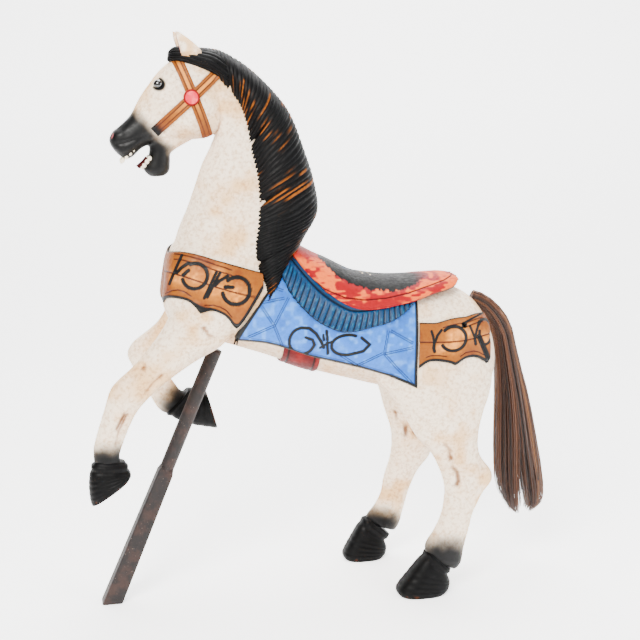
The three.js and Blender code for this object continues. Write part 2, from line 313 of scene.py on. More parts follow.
nearEar = [
    section([-280, 1092], [-228, 1076], 11, -26),
    section([-285, 1112], [-240, 1102], 12, -29),
    section([-288, 1126], [-258, 1120], 8, -31),
    section([-286, 1137], [-279, 1135], 3, -32),
]
nearHindLeg = [
    section([120, 580], [322, 575], 34, -62),
    section([92, 475], [330, 478], 43, -69),
    section([118, 432], [324, 430], 43, -74),
    section([146, 388], [310, 388], 38, -78),
    section([171, 344], [300, 345], 31, -83),
    section([198, 314], [302, 304], 26, -87),
    section([213, 285], [325, 266], 23, -90),
    section([226, 248], [327, 246], 21, -92),
    section([227, 217], [311, 224], 19, -94),
    section([221, 182], [292, 183], 17, -95),
    section([206, 149], [281, 140], 16, -96),
    section([191, 126], [272, 103], 17, -95),
    section([188, 113], [267, 72], 20, -95),
    section([190, 100], [254, 57], 22, -94),
]
farHindLeg = [
    section([120, 580], [322, 575], 34, 62),
    section([98, 475], [326, 478], 43, 69),
    section([128, 420], [306, 430], 43, 75),
    section([147, 358], [272, 378], 36, 82),
    section([163, 312], [248, 318], 27, 88),
    section([167, 272], [254, 262], 23, 92),
    section([162, 236], [248, 238], 21, 95),
    section([152, 200], [226, 203], 18, 98),
    section([146, 163], [210, 162], 16, 100),
    section([132, 132], [199, 119], 16, 102),
    section([117, 113], [191, 86], 18, 104),
    section([112, 99], [180, 68], 21, 104),
]
nearForeLeg = [
    section([-285, 655], [-185, 590], 36, -62),
    section([-322, 596], [-216, 552], 33, -66),
    section([-340, 573], [-262, 526], 28, -68),
    section([-366, 541], [-305, 499], 24, -70),
    section([-390, 516], [-338, 474], 22, -70),
    section([-413, 496], [-364, 450], 22, -70),
    section([-431, 476], [-381, 430], 21, -70),
    section([-443, 440], [-393, 408], 18, -70),
    section([-456, 402], [-405, 380], 15, -70),
    section([-467, 364], [-414, 356], 15, -70),
    section([-468, 343], [-418, 341], 17, -70),
    section([-467, 329], [-411, 326], 19, -70),
]
farForeLeg = [
    section([-285, 640], [-190, 590], 36, 62),
    section([-322, 580], [-230, 535], 31, 66),
    section([-352, 553], [-290, 505], 25, 69),
    section([-378, 533], [-325, 488], 22, 70),
    section([-390, 508], [-328, 484], 21, 70),
    section([-379, 480], [-322, 474], 19, 70),
    section([-362, 446], [-311, 462], 16, 70),
    section([-344, 412], [-298, 446], 15, 70),
    section([-330, 388], [-284, 426], 17, 70),
    section([-312, 378], [-268, 426], 19, 70),
]


def carveBody(points):
    # raised muscles and cut hollows of trunk and legs, as one height per point
    height = np.zeros(len(points))
    for at, size, rise in (
            ((-300, -45, 625), (34, 34, 42), 5),  # breast, both halves
            ((-300, 45, 625), (34, 34, 42), 5),
            ((-230, -98, 610), (60, 30, 50), 4),  # shoulders
            ((-230, 98, 610), (60, 30, 50), 4),
            ((240, -108, 500), (80, 34, 80), 5),  # haunches
            ((240, 108, 500), (80, 34, 80), 5),
            ((-405, -92, 478), (20, 18, 22), 3),  # knees
            ((-376, 92, 505), (20, 18, 22), 3),
            ((318, -92, 258), (16, 20, 24), 3),  # hocks
            ((246, 92, 252), (16, 20, 24), 3),
    ):
        height += swell(points, at, size, rise)
    for path, width, depth in (
            (((-318, 0, 700), (-322, 0, 650), (-312, 0, 590)), 9, 5),  # between the breasts
            # behind the shoulder
            (((-262, -97, 606), (-243, -99, 578), (-205, -97, 560)), 9, 4.5),
            (((-262, 97, 606), (-243, 99, 578), (-205, 97, 560)), 9, 4.5),
            (((-360, -90, 528), (-380, -92, 516), (-404, -91, 498)), 8, 7),  # above the near knee
            (((-322, -92, 512), (-350, -93, 488), (-372, -92, 458)), 7, 5),
            (((-392, -88, 446), (-416, -86, 400), (-430, -86, 352)), 5, 4),
            (((-441, -82, 440), (-452, -82, 402)), 6, 3),
            (((-345, 92, 540), (-362, 92, 524)), 8, 4),
            (((-345, 86, 470), (-322, 86, 440), (-308, 86, 415)), 5, 4),
            # hollow of the near gaskin
            (((214, -104, 345), (232, -108, 322), (238, -106, 290)), 9, 7),
            (((300, -102, 300), (306, -102, 250), (292, -104, 215)), 6, 3.5),
            (((272, -104, 232), (262, -105, 180), (254, -106, 130)), 5, 3),
            (((292, -100, 200), (276, -102, 150), (266, -104, 110)), 4, 3),
            (((160, 58, 368), (166, 60, 330), (172, 62, 290)), 9, 7),  # inside of the far leg
            (((204, 48, 392), (226, 52, 356)), 8, 5),
            (((196, 76, 210), (182, 80, 160), (176, 82, 120)), 5, 3),
    ):
        height += furrow(points, path, width, depth)
    return height


def noise(points, cell, seed=0):
    # lattice noise 0 to 1: a value for each corner from sin, blended by s * s * (3 - 2 s)
    place = np.asarray(points, float) / cell + 31.7 * seed + 400
    base = np.floor(place)
    share = place - base
    share = share * share * (3 - 2 * share)
    spread = np.array([127.1, 311.7, 74.7])[:place.shape[-1]]
    total = np.zeros(place.shape[:-1])
    for corner in np.ndindex(*(2,) * place.shape[-1]):
        value = np.sin((base + corner) @ spread) * 43758.5453 % 1
        total += np.where(corner, share, 1 - share).prod(-1) * value
    return total


def blend(low, high, share):
    # low + (high - low) * share, for colours
    return low + (high - low) * np.asarray(share)[..., None]


# sRGB colours of the paints and the materials under them, with some tones that also serve as
# painted shade and highlights
tones = {name: srgb(code) for name, code in {
    "cream": "#f4e8d8", "warm": "#e6c596", "patinaAndShade": "#a87d4e", "umber": "#4e3522",
    "wood": "#8a5f3a", "black": "#17181a", "softBlack": "#2b2c30", "red": "#a8283a",
    "darkRed": "#6f1f2b", "ochre": "#b0801c", "amber": "#eebd78", "deepOchre": "#94560c",
    "blue": "#5f9fdc", "deepBlue": "#3c74b4", "teal": "#1a6f92", "tealShade": "#0c4f6c",
    "tealHighlight": "#3d9cb2", "saddleRed": "#b83c48", "orange": "#eea05f", "pink": "#e4647c",
    "seat": "#1d1e20", "slate": "#34586f", "dot": "#efe3cf", "gold": "#b8842c",
    "ridgeHighlightBlack": "#25262a", "tooth": "#eadcc0", "rust": "#2c1a14", "darkRust": "#140d0c",
}.items()}


def addNode(tree, kind, inputs=None, output=0, **settings):
    # a node with its settings and its linked or plain inputs; gives back one of its outputs
    node = tree.nodes.new(kind)
    for key, value in settings.items():
        setattr(node, key, value)
    for key, value in (inputs or {}).items():
        if isinstance(value, bpy.types.NodeSocket):
            tree.links.new(value, node.inputs[key])
        else:
            node.inputs[key].default_value = value
    return node.outputs[output]


def perMetre(size):
    # noise scale whose features are size millimetres across
    return 1 / (size * mm)


def rgba(color):
    return (*[float(part) for part in color], 1.0)


def newSurface(name):
    material = bpy.data.materials.new(name)
    material.use_nodes = True
    return material, material.node_tree, material.node_tree.nodes["Principled BSDF"]


# sizes in mm of the paint's stained patches, brush marks and specks, with their noise detail;
# cut is the height of the marks in mm
paintLook = {"patches": (50, 3), "marks": (7, 5), "specks": (3.2, 2), "cut": 0.6}


def paintedWood(name, roughness=0.42, mottling=0.5, specks=0.6, wear=0.8, relief=0.5, gloss=0.2,
                depth=1.9):
    # brushed satin enamel on carved wood, IOR 1.5: the point colour to the power depth, mottled by
    # brush marks, stained brown in the hollows, with brown specks where the paint has come off
    material, tree, surface = newSurface(name)
    place = addNode(tree, "ShaderNodeTexCoord", output="Object")
    paint = addNode(tree, "ShaderNodeAttribute", output="Color", attribute_name="paint")
    color = addNode(tree, "ShaderNodeGamma", {"Color": paint, "Gamma": depth})
    hollow = addNode(tree, "ShaderNodeAttribute", output="Fac", attribute_name="hollow")
    broad, fine, dots = [
        addNode(tree, "ShaderNodeTexNoise", {"Vector": place, "Scale": perMetre(size),
                                             "Detail": detail, "Roughness": 0.6}, "Fac")
        for size, detail in (paintLook[key] for key in ("patches", "marks", "specks"))]
    mottle, stain, speck, patch, shine = [
        addNode(tree, "ShaderNodeMapRange", {"Value": value, "From Min": start, "From Max": end,
                                             "To Min": low, "To Max": high},
                interpolation_type="SMOOTHSTEP")
        for value, start, end, low, high in (
            (fine, 0.42, 0.68, 0.0, mottling), (fine, 0.25, 0.60, 0.45 * wear, wear),
            (dots, 0.66, 0.71, 0.0, specks), (broad, 0.46, 0.60, 0.0, 1.0),
            (fine, 0.30, 0.70, roughness - 0.08, roughness + 0.12))]
    stained = addNode(tree, "ShaderNodeMath", {0: hollow, 1: stain}, operation="MULTIPLY")
    chipped = addNode(tree, "ShaderNodeMath", {0: speck, 1: patch}, operation="MULTIPLY")
    for share, other, kind in ((mottle, srgb("#c9a982"), "MULTIPLY"),
                               (stained, srgb("#a07850"), "MULTIPLY"),
                               (chipped, tones["umber"], "MIX")):
        color = addNode(tree, "ShaderNodeMix", {0: share, 6: color, 7: rgba(other)}, 2,
                        data_type="RGBA", blend_type=kind)
    marks = addNode(tree, "ShaderNodeMath", {0: fine, 1: 0.7}, operation="MULTIPLY")
    height = addNode(tree, "ShaderNodeMath", {0: chipped, 1: -0.5, 2: marks},
                     operation="MULTIPLY_ADD")
    bump = addNode(tree, "ShaderNodeBump", {"Strength": relief, "Distance": paintLook["cut"] * mm,
                                            "Height": height})
    for key, value in (("Base Color", color), ("Roughness", shine), ("Normal", bump)):
        tree.links.new(value, surface.inputs[key])
    surface.inputs["IOR"].default_value = 1.5
    surface.inputs["Specular IOR Level"].default_value = gloss
    return material


def plainSurface(name, roughness, color=None, **inputs):
    # one even surface; without a colour it takes the point colour to the power 1.6
    material, tree, surface = newSurface(name)
    if color is None:
        paint = addNode(tree, "ShaderNodeAttribute", output="Color", attribute_name="paint")
        deep = addNode(tree, "ShaderNodeGamma", {"Color": paint, "Gamma": 1.6})
        tree.links.new(deep, surface.inputs["Base Color"])
    else:
        surface.inputs["Base Color"].default_value = rgba(color)
    surface.inputs["Roughness"].default_value = roughness
    for key, value in inputs.items():
        surface.inputs[key.replace("_", " ")].default_value = value
    return material


def rustedIron(name):
    # old iron bar: brown-black scale with rust blotches over 26 mm and pale flecks of 5 mm, rough,
    # a little metallic
    material, tree, surface = newSurface(name)
    place = addNode(tree, "ShaderNodeTexCoord", output="Object")
    broad, fine = [
        addNode(tree, "ShaderNodeTexNoise", {"Vector": place, "Scale": perMetre(size),
                                             "Detail": detail, "Roughness": 0.6}, "Fac")
        for size, detail in ((26, 4), (5, 5))]
    color = rgba(tones["darkRust"])
    for value, start, end, most, other in ((broad, 0.38, 0.66, 1.0, tones["rust"]),
                                           (fine, 0.64, 0.72, 0.45, srgb("#8c7568"))):
        share = addNode(tree, "ShaderNodeMapRange", {"Value": value, "From Min": start,
                                                     "From Max": end, "To Max": most},
                        interpolation_type="SMOOTHSTEP")
        color = addNode(tree, "ShaderNodeMix", {0: share, 6: color, 7: rgba(other)}, 2,
                        data_type="RGBA")
    bump = addNode(tree, "ShaderNodeBump", {"Strength": 0.6, "Distance": 0.9 * mm, "Height": fine})
    for key, value in (("Base Color", color), ("Normal", bump)):
        tree.links.new(value, surface.inputs[key])
    surface.inputs["Roughness"].default_value = 0.62
    surface.inputs["Metallic"].default_value = 0.35
    return material


creamWood = paintedWood("cream enamel on carved wood", 0.46, mottling=0.6, depth=1.7)
strapWood = paintedWood("ochre enamel on carved wood", 0.5, mottling=0.35, specks=0.35)
blueWood = paintedWood("blue enamel on carved wood", 0.45, mottling=0.25, specks=0.25, wear=0.4)
tealWood = paintedWood("teal enamel on carved wood", 0.38, mottling=0.2, specks=0.3, wear=0.4)
redWood = paintedWood("red enamel on carved wood", 0.52, mottling=0.3, specks=0.3, gloss=0.1)
blackWood = paintedWood("black enamel on carved wood", 0.48, mottling=0.2, specks=0.25, gloss=0.1)
eyeGlass = plainSurface("dark glass eye", 0.06, srgb("#0d0a09"), Coat_Weight=1.0)
toothPaint = plainSurface("ivory enamel", 0.35, tones["tooth"])
ironRust = rustedIron("rusted iron")


def addPiece(name, arrays, material, node, colors=None, hollow=None):
    # a finished visible piece on the frame
    points, quads, triangles = arrays
    mesh = buildMesh(name, points, quads, triangles,
                     {} if hollow is None else {"hollow": hollow},
                     {} if colors is None else {"paint": colors})
    mesh.materials.append(material)
    piece = placeMesh(mesh)
    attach(piece, "root")
    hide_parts(node)
    return piece


def hollows(points, edges, normals, reach):
    # depth in mm of each point below the evened-out surface round it
    return ((relax(points, edges, reach, 0.8) - points) * normals).sum(1)


coronets = (((226, -94, 80), 30, 78), ((144, 104, 80), 28, 66), ((-438, -70, 326), 24, 62),
            ((-287, 70, 398), 22, 56))  # middle of each, fully black within, cream beyond
gouges = (((234, -106, 292), (249, -108, 275), (252, -108, 256), (246, -107, 240)),
          ((188, 62, 335), (190, 62, 302), (182, 62, 271), (171, 64, 233)),
          ((203, 60, 314), (214, 60, 298), (226, 60, 284)),
          ((-362, -92, 530), (-384, -93, 512), (-402, -93, 492)),
          ((-402, -90, 436), (-424, -88, 396)))


def creamCoat(points, normals, depth):
    # cream, warmed by broad stains, browner in the hollows, with painted shade browning the
    # underside; black soft socks and a black muzzle; bare wood along the gouges
    stain = 0.6 * noise(points, 75, 1) + 0.4 * noise(points, 24, 2)
    color = blend(tones["cream"], tones["warm"], 0.75 * ramp(stain, 0.42, 0.80))
    # painted shade: surfaces that face downward are browned, as shade under the body, legs and head
    color = blend(color, tones["patinaAndShade"], 0.38 * ramp(-normals[:, 2], 0.25, 1.0))
    color = blend(color, tones["patinaAndShade"], 0.7 * ramp(depth, 0.25, 2.2))
    for path in gouges:
        distance, share = lineDistance(points, path)
        cut = ramp(-distance, -7.0, -2.5) * ramp(share, 0, 0.2) * ramp(1 - share, 0, 0.2)
        color = blend(color, tones["wood"], 0.85 * cut)
    soot = (noise(points, 16, 3) - 0.5) * 10
    for at, near, far in coronets:
        away = np.linalg.norm(points - np.array(at), axis=1) + soot
        color = blend(color, tones["black"], 1 - ramp(away, near, far))
    toMuzzle = -0.727 * (points[:, 0] + 372) - 0.686 * (points[:, 2] - 1012) + soot
    muzzle = ramp(toMuzzle, -4, 26) * ramp(-points[:, 0], 284, 296) * (points[:, 2] > 800)
    return blend(color, tones["black"], muzzle)


bodyLook = {"voxel": 3.5, "smoothing": 14, "boxiness": 0.88}


def bodyArrays():
    shell = loftGrid(trunk, 160, 120, bodyLook["boxiness"])
    shoulders = loftGrid(neck[5:], 60, 90, 0.95)
    legs = [loftGrid(leg, 120, 48) for leg in (nearHindLeg, farHindLeg, nearForeLeg, farForeLeg)]
    points, edges, quads, triangles = fuse([closedGrid(g) for g in (shell, shoulders, *legs)],
                                           bodyLook["voxel"])
    points = relax(points, edges, bodyLook["smoothing"])
    normals = pointNormals(points, quads, triangles)
    points = points + normals * (carveBody(points) + 0.6)[:, None]
    return points, edges, quads, triangles


print("body")
points, edges, quads, triangles = bodyArrays()
normals = pointNormals(points, quads, triangles)
depth = hollows(points, edges, normals, 10)
body = addPiece("horse_body", (points, quads, triangles), creamWood, "horse",
                creamCoat(points, normals, depth), ramp(depth, 0.1, 1.6))

headLook = {"voxel": 2.2, "smoothing": 7}


def carveHead(points):
    # cheeks, eye sockets, lids, nostrils, lips and the folds of the muzzle, alike on both sides
    sided = points * [1, -1, 1]
    sided[:, 1] = -np.abs(points[:, 1])
    height = np.zeros(len(points))
    for at, size, rise in (
            ((-246, -46, 984), (36, 22, 36), 5),  # cheek
            ((-308, -40, 1044), (24, 14, 20), 3.5),  # brow
            ((-320, -36, 1042), (11, 16, 9), -5),  # socket
            ((-402, -18, 951), (12, 12, 10), 3.5),  # nostril rim
            ((-409, -16, 949), (5, 8, 5), -4.5),
            ((-336, -28, 925), (12, 14, 14), -1.5),
            ((-345, -38, 1010), (16, 12, 18), -2.5),
    ):
        height += swell(sided, at, size, rise)
    for path, width, depth in (
            (((-196, -44, 1016), (-196, -48, 992), (-205, -50, 968), (-222, -46, 948)), 7, 7),
            (((-336, -26, 1047), (-325, -35, 1055), (-308, -42, 1052), (-297, -44, 1042)), 4,
             -3.2),
            (((-333, -28, 1035), (-320, -36, 1030), (-306, -44, 1034)), 4, -2.6),
            (((-308, -44, 1042), (-294, -46, 1042)), 2.5, 2.5),  # line from the eye back
            (((-358, -36, 990), (-380, -30, 964), (-400, -24, 944)), 6, -3),
            (((-366, -28, 1002), (-386, -22, 976), (-402, -14, 960)), 6, 3.5),
            (((-408, -18, 932), (-384, -30, 936), (-356, -34, 946), (-338, -34, 950)), 4, 3),
            (((-402, -18, 920), (-378, -28, 924), (-352, -32, 938)), 4, -2),
            (((-340, -32, 950), (-330, -30, 938), (-334, -26, 922)), 4, 3.5),
            (((-292, -30, 944), (-300, -28, 918), (-304, -26, 894)), 8, 2.5),
            (((-330, -36, 975), (-318, -38, 958), (-306, -34, 948)), 7, 3),
    ):
        height += furrow(sided, path, width, depth)
    return height


def headArrays():
    grids = [
        loftGrid(neck, 140, 90, 0.95), loftGrid(head, 140, 90, 0.9), loftGrid(lowerJaw, 60, 48),
    ]
    points, edges, quads, triangles = fuse([closedGrid(g) for g in grids], headLook["voxel"])
    points = relax(points, edges, headLook["smoothing"])
    normals = pointNormals(points, quads, triangles)
    points = points + normals * (carveHead(points) + 0.3)[:, None]
    return points, edges, quads, triangles


print("head")
points, edges, quads, triangles = headArrays()
normals = pointNormals(points, quads, triangles)
depth = hollows(points, edges, normals, 12)
headColors = creamCoat(points, normals, depth)
eyeAway = np.hypot(points[:, 0] + 320, points[:, 2] - 1042)
headColors = blend(headColors, tones["black"], (1 - ramp(eyeAway, 10, 14))
                   * (np.abs(points[:, 1]) > 22))
nostrilAway = np.linalg.norm(np.stack([points[:, 0] + 409, np.abs(points[:, 1]) - 15,
                                       points[:, 2] - 949]), axis=0)
headColors = blend(headColors, tones["red"], 1 - ramp(nostrilAway, 5, 7))
headPiece = addPiece("horse_head", (points, quads, triangles), creamWood, "horse",
                     headColors, ramp(depth, 0.1, 1.4))
tongue = [
    section([-346, 908], [-326, 890], 9),
    section([-354, 899], [-346, 884], 8),
    section([-364, 891], [-360, 886], 3),
]
forelock = [
    section([-297, 1101], [-300, 1084], 15),
    section([-288, 1108], [-291, 1078], 26),
    section([-270, 1110], [-274, 1073], 36),
    section([-248, 1108], [-246, 1064], 43),
    section([-215, 1104], [-205, 1044], 48),
    section([-190, 1090], [-182, 1022], 46),
]
mane = [
    section([-222, 1064], [-236, 1108], 36),
    section([-203, 1032], [-200, 1102], 47),
    section([-178, 992], [-152, 1074], 53),
    section([-172, 950], [-105, 1031], 56),
    section([-174, 905], [-69, 984], 59),
    section([-170, 862], [-43, 918], 65),
    section([-176, 820], [-24, 858], 72),
    section([-190, 775], [-17, 798], 83),
    section([-186, 738], [-44, 750], 96),
    section([-172, 700], [-68, 710], 107),
    section([-152, 668], [-92, 676], 112),
    section([-138, 642], [-124, 644], 110),
]
nearHindHoof = [
    section([196, 106], [244, 62], 21, -94),
    section([184, 93], [237, 52], 27, -94),
    section([156, 58], [242, 36], 32, -93),
    section([132, 25], [239, 20], 36, -92),
    section([136, 12], [231, 12], 34, -92),
]
farHindHoof = [
    section([117, 107], [168, 62], 20, 104),
    section([101, 93], [157, 50], 25, 105),
    section([80, 57], [161, 34], 29, 106),
    section([64, 25], [158, 20], 32, 106),
    section([68, 12], [151, 12], 31, 106),
]
nearForeHoof = [
    section([-465, 336], [-408, 332], 19, -70),
    section([-474, 319], [-402, 316], 24, -70),
    section([-478, 292], [-399, 310], 28, -70),
    section([-477, 262], [-398, 304], 32, -70),
    section([-474, 250], [-400, 300], 31, -70),
]
farForeHoof = [
    section([-316, 384], [-276, 424], 19, 70),
    section([-306, 374], [-262, 431], 24, 70),
    section([-270, 357], [-246, 428], 29, 70),
    section([-222, 346], [-237, 424], 32, 70),
    section([-213, 346], [-233, 420], 31, 70),
]
tailHair = [
    section([311, 623], [298, 596], 9),
    section([339, 612], [322, 585], 13),
    section([371, 584], [342, 556], 18),
    section([393, 548], [354, 525], 22),
    section([405, 502], [359, 488], 26),
    section([420, 450], [363, 438], 30),
    section([440, 390], [364, 370], 34),
    section([463, 300], [362, 288], 37),
    section([482, 212], [362, 206], 36),
    section([484, 160], [376, 152], 31),
    section([466, 138], [396, 130], 22),
]


def gridNormals(grid, closed=False):
    # cross product of the runs along the rows and the columns, closed round the columns if asked
    down = np.gradient(grid, axis=0)
    if closed:
        across = (np.roll(grid, -1, 1) - np.roll(grid, 1, 1)) / 2
    else:
        across = np.gradient(grid, axis=1)
    facing = np.cross(down, across)
    return facing / np.maximum(np.linalg.norm(facing, axis=-1, keepdims=True), 1e-9)


def outwardNormals(grid):
    # the same for a closed tube, turned to point away from the middle of each ring
    facing = gridNormals(grid, closed=True)
    away = grid - grid.mean(1, keepdims=True)
    return facing * np.sign((facing * away).sum())


def ball(at, radii, rows=12, sides=20):
    # latitude rings of an ellipsoid, cos and sin of the angle from its -Z pole
    tilt = np.linspace(0.08, np.pi - 0.08, rows)[:, None]
    turn = np.linspace(0, 2 * np.pi, sides, endpoint=False)[None, :]
    grid = np.stack([np.sin(tilt) * np.cos(turn), np.sin(tilt) * np.sin(turn),
                     -np.cos(tilt) + 0 * turn], -1)
    return grid * radii + at


def capped(grids):
    return joinParts([closedGrid(grid) for grid in grids])


def tubeColors(colors):
    # point colours of a closed grid: its own, then a mean for each of the two end points
    flat = colors.reshape(-1, 3)
    return np.concatenate([flat, colors[0].mean(0)[None], colors[-1].mean(0)[None]])


eyeLook = {"at": (-320, 28, 1042), "radii": (9.5, 9.5, 8.5)}
eyes = [ball(np.array(eyeLook["at"]) * [1, side, 1], eyeLook["radii"], 20, 32) for side in (-1, 1)]
addPiece("eyes", capped(eyes), eyeGlass, "horse")

upperTeeth = [(-364, -19, 929), (-369, -20, 923), (-375, -20, 916), (-382, -18, 909),
              (-388, -13, 903), (-391, -5, 900)]
lowerTeeth = [(-339, -15, 905), (-344, -14, 899), (-349, -11, 892), (-352, -4, 888)]
teeth = [ball(np.array(at) * [1, side, 1], size, 8, 12) for row, size in
         ((upperTeeth, (3.4, 3.2, 5.0)), (lowerTeeth, (4.2, 3.4, 4.6)))
         for at in row for side in (-1, 1)]
addPiece("teeth", capped(teeth), toothPaint, "horse")

tongueGrid = loftGrid(tongue, 20, 24)
addPiece("tongue", closedGrid(tongueGrid), redWood, "horse",
         tubeColors(np.broadcast_to(tones["darkRed"], tongueGrid.shape)))

earLook = {"rows": 50, "sides": 48, "dish": 7.0}


def earGrid(sections):
    # the front of the ear is dished: 7 mm deep at its middle line, less towards root and tip
    grid = loftGrid(sections, earLook["rows"], earLook["sides"])
    turn = np.linspace(-np.pi, np.pi, earLook["sides"], endpoint=False)
    turn = np.roll(turn, earLook["sides"] // 2)[None, :]
    share = np.linspace(0, 1, earLook["rows"])[:, None]
    inside = np.exp(-(turn / 0.42) ** 2) * ramp(share, 0.0, 0.25) * ramp(1 - share, 0.02, 0.3)
    grid = grid + outwardNormals(grid) * (-earLook["dish"] * inside)[..., None]
    red = (1 - ramp(np.abs(turn), 0.42, 0.6)) * np.ones_like(share)
    color = blend(tones["cream"], tones["warm"], 0.7 * ramp(noise(grid, 14, 4), 0.45, 0.8))
    # painted shade: browner towards the root, where the ear meets the head
    color = blend(color, tones["patinaAndShade"], 0.5 * ramp(1 - share, 0.75, 1.0) * np.ones_like(turn))
    color = blend(color, tones["red"], red)
    # painted shade: the red inside of the dish goes black towards the root
    return grid, blend(color, tones["black"], red * ramp(1 - share, 0.75, 0.95))


ears = [earGrid(sections) for sections in (nearEar, mirrored(nearEar))]
addPiece("ears", capped([grid for grid, _ in ears]), creamWood, "horse",
         np.concatenate([tubeColors(color) for _, color in ears]))

hoofLook = {"rows": 60, "sides": 88, "boxiness": 0.74}


def hoofGrid(sections):
    # a rim at the coronet, fine growth rings, and a few chips along the sole edge
    grid = loftGrid(sections, hoofLook["rows"], hoofLook["sides"], hoofLook["boxiness"])
    share = np.linspace(0, 1, hoofLook["rows"])[:, None] * np.ones(hoofLook["sides"])
    rim = 2.2 * np.exp(-((share - 0.14) / 0.05) ** 2) - 1.4 * np.exp(-((share - 0.25) / 0.04) ** 2)
    rings = 0.35 * np.sin(2 * np.pi * 11 * share) * ramp(share, 0.3, 0.5) * ramp(1 - share, 0.1,
                                                                                 0.3)
    chips = ramp(noise(grid, 7, 5), 0.68, 0.78) * ramp(share, 0.72, 0.9)
    grid = grid + outwardNormals(grid) * ((rim + rings - 1.4 * chips) * (share < 0.97))[..., None]
    color = blend(tones["black"], tones["softBlack"], ramp(noise(grid, 12, 6), 0.5, 0.9))
    return grid, blend(color, tones["wood"], 0.8 * chips)


hooves = [hoofGrid(sections) for sections in (nearHindHoof, farHindHoof, nearForeHoof,
                                              farForeHoof)]
addPiece("hooves", capped([grid for grid, _ in hooves]), blackWood, "horse",
         np.concatenate([tubeColors(color) for _, color in hooves]))

maneLook = {"rows": 430, "columns": 120, "strands": 70, "sweep": 0.16, "locks": 5, "groove": 3.2,
            "step": 7.0, "lobe": 8.0}


def maneGrid():
    # u runs from the crest, 0, to the front edge, 1, on both sides, v from poll to withers.
    # A strand keeps q = v - sweep * v^1.2 * u - 0.09 * u^5, so that it falls more steeply towards
    # the front.
    grid = loftGrid(mane, maneLook["rows"], maneLook["columns"])
    v = np.linspace(0, 1, maneLook["rows"])[:, None] * np.ones(maneLook["columns"])
    turn = np.linspace(0, 2, maneLook["columns"], endpoint=False)[None, :]
    u = np.abs(turn - 1) + 0 * v
    side = np.where(turn < 1, 1.0, 2.0) + 0 * v
    wander = 0.012 * (noise(np.stack([v * 16, u * 3, side * 9], -1), 1, 7) - 0.5)
    q = v - maneLook["sweep"] * v ** 1.2 * u - 0.09 * u ** 5 + wander
    strand = q * maneLook["strands"]
    uneven = noise(np.stack([strand * 0.9, side * 5], -1), 1, 8)
    ridge = np.abs(np.sin(np.pi * (strand + 0.35 * uneven))) ** 0.75
    fine = np.abs(np.sin(np.pi * (strand * 2.7 + 2 * uneven)))
    lock = q * maneLook["locks"] + 0.55
    within = lock % 1
    overlap = (ramp(within, 0.0, 0.12) - 1.0) * ramp(u, 0.25, 0.75)
    lobes = np.sin(np.pi * within) * ramp(u, 0.72, 1.0)
    rise = (maneLook["groove"] * (ridge - 1) * (1 - 0.5 * ramp(u, 0.8, 1.0)) + 0.9 * (fine - 0.5)
            + maneLook["step"] * overlap
            + maneLook["lobe"] * (lobes - 0.4 * ramp(u, 0.8, 1.0)))
    ends = ramp(v, 0, 0.04) * ramp(1 - v, 0, 0.03)
    grid = grid + outwardNormals(grid) * (rise * ends)[..., None]
    streak = noise(np.stack([np.floor(strand + 0.35 * uneven) * 1.7, u * 7, side * 3], -1), 1, 9)
    patch = noise(np.stack([v * 11, u * 4, side * 7], -1), 1, 10)
    brushed = ramp(streak * 0.55 + patch * 0.6 - 0.22 * ramp(u, 0.3, 0.9), 0.64, 0.80)
    brushed = brushed * ramp(ridge + 0.25 * (fine - 0.5), 0.72, 0.98)
    # painted shade and highlight: the grooves full black, the ridge crests a lighter black
    color = blend(tones["black"], tones["ridgeHighlightBlack"], ramp(ridge, 0.4, 1.0))
    color = blend(color, tones["umber"], 0.35 * ramp(patch, 0.45, 0.8) * ramp(ridge, 0.6, 1))
    return grid, blend(color, tones["gold"], 0.9 * brushed)


print("mane")
grid, colors = maneGrid()
addPiece("mane", closedGrid(grid), blackWood, "horse", tubeColors(colors))


def forelockGrid():
    # combed hair over the poll: 13 ridges that turn a little round its length
    rows, columns = 90, 150
    grid = loftGrid(forelock, rows, columns)
    turn = np.linspace(0, 1, columns, endpoint=False)[None, :]
    share = np.linspace(0, 1, rows)[:, None]
    place = turn * 17 + share * 1.6 + 0.8 * noise(grid, 30, 11)
    ridge = np.abs(np.sin(np.pi * place)) ** 0.7
    grid = grid + outwardNormals(grid) * (2.6 * (ridge - 0.8))[..., None]
    # painted shade and highlight: the grooves full black, the ridge crests a lighter black
    return grid, blend(tones["black"], tones["ridgeHighlightBlack"], ridge)


grid, colors = forelockGrid()
addPiece("forelock", closedGrid(grid), blackWood, "horse", tubeColors(colors))


def sectionsAt(sections, share):
    # the sections' numbers at any shares, read straight between 300 even Catmull-Rom steps
    fine = alongSections(sections, 300)
    place = np.linspace(0, 1, 300)
    return [np.interp(share, place, fine[:, i]) for i in range(6)]


tailLook = {"strands": 1050, "steps": 16, "radius": 1.2}


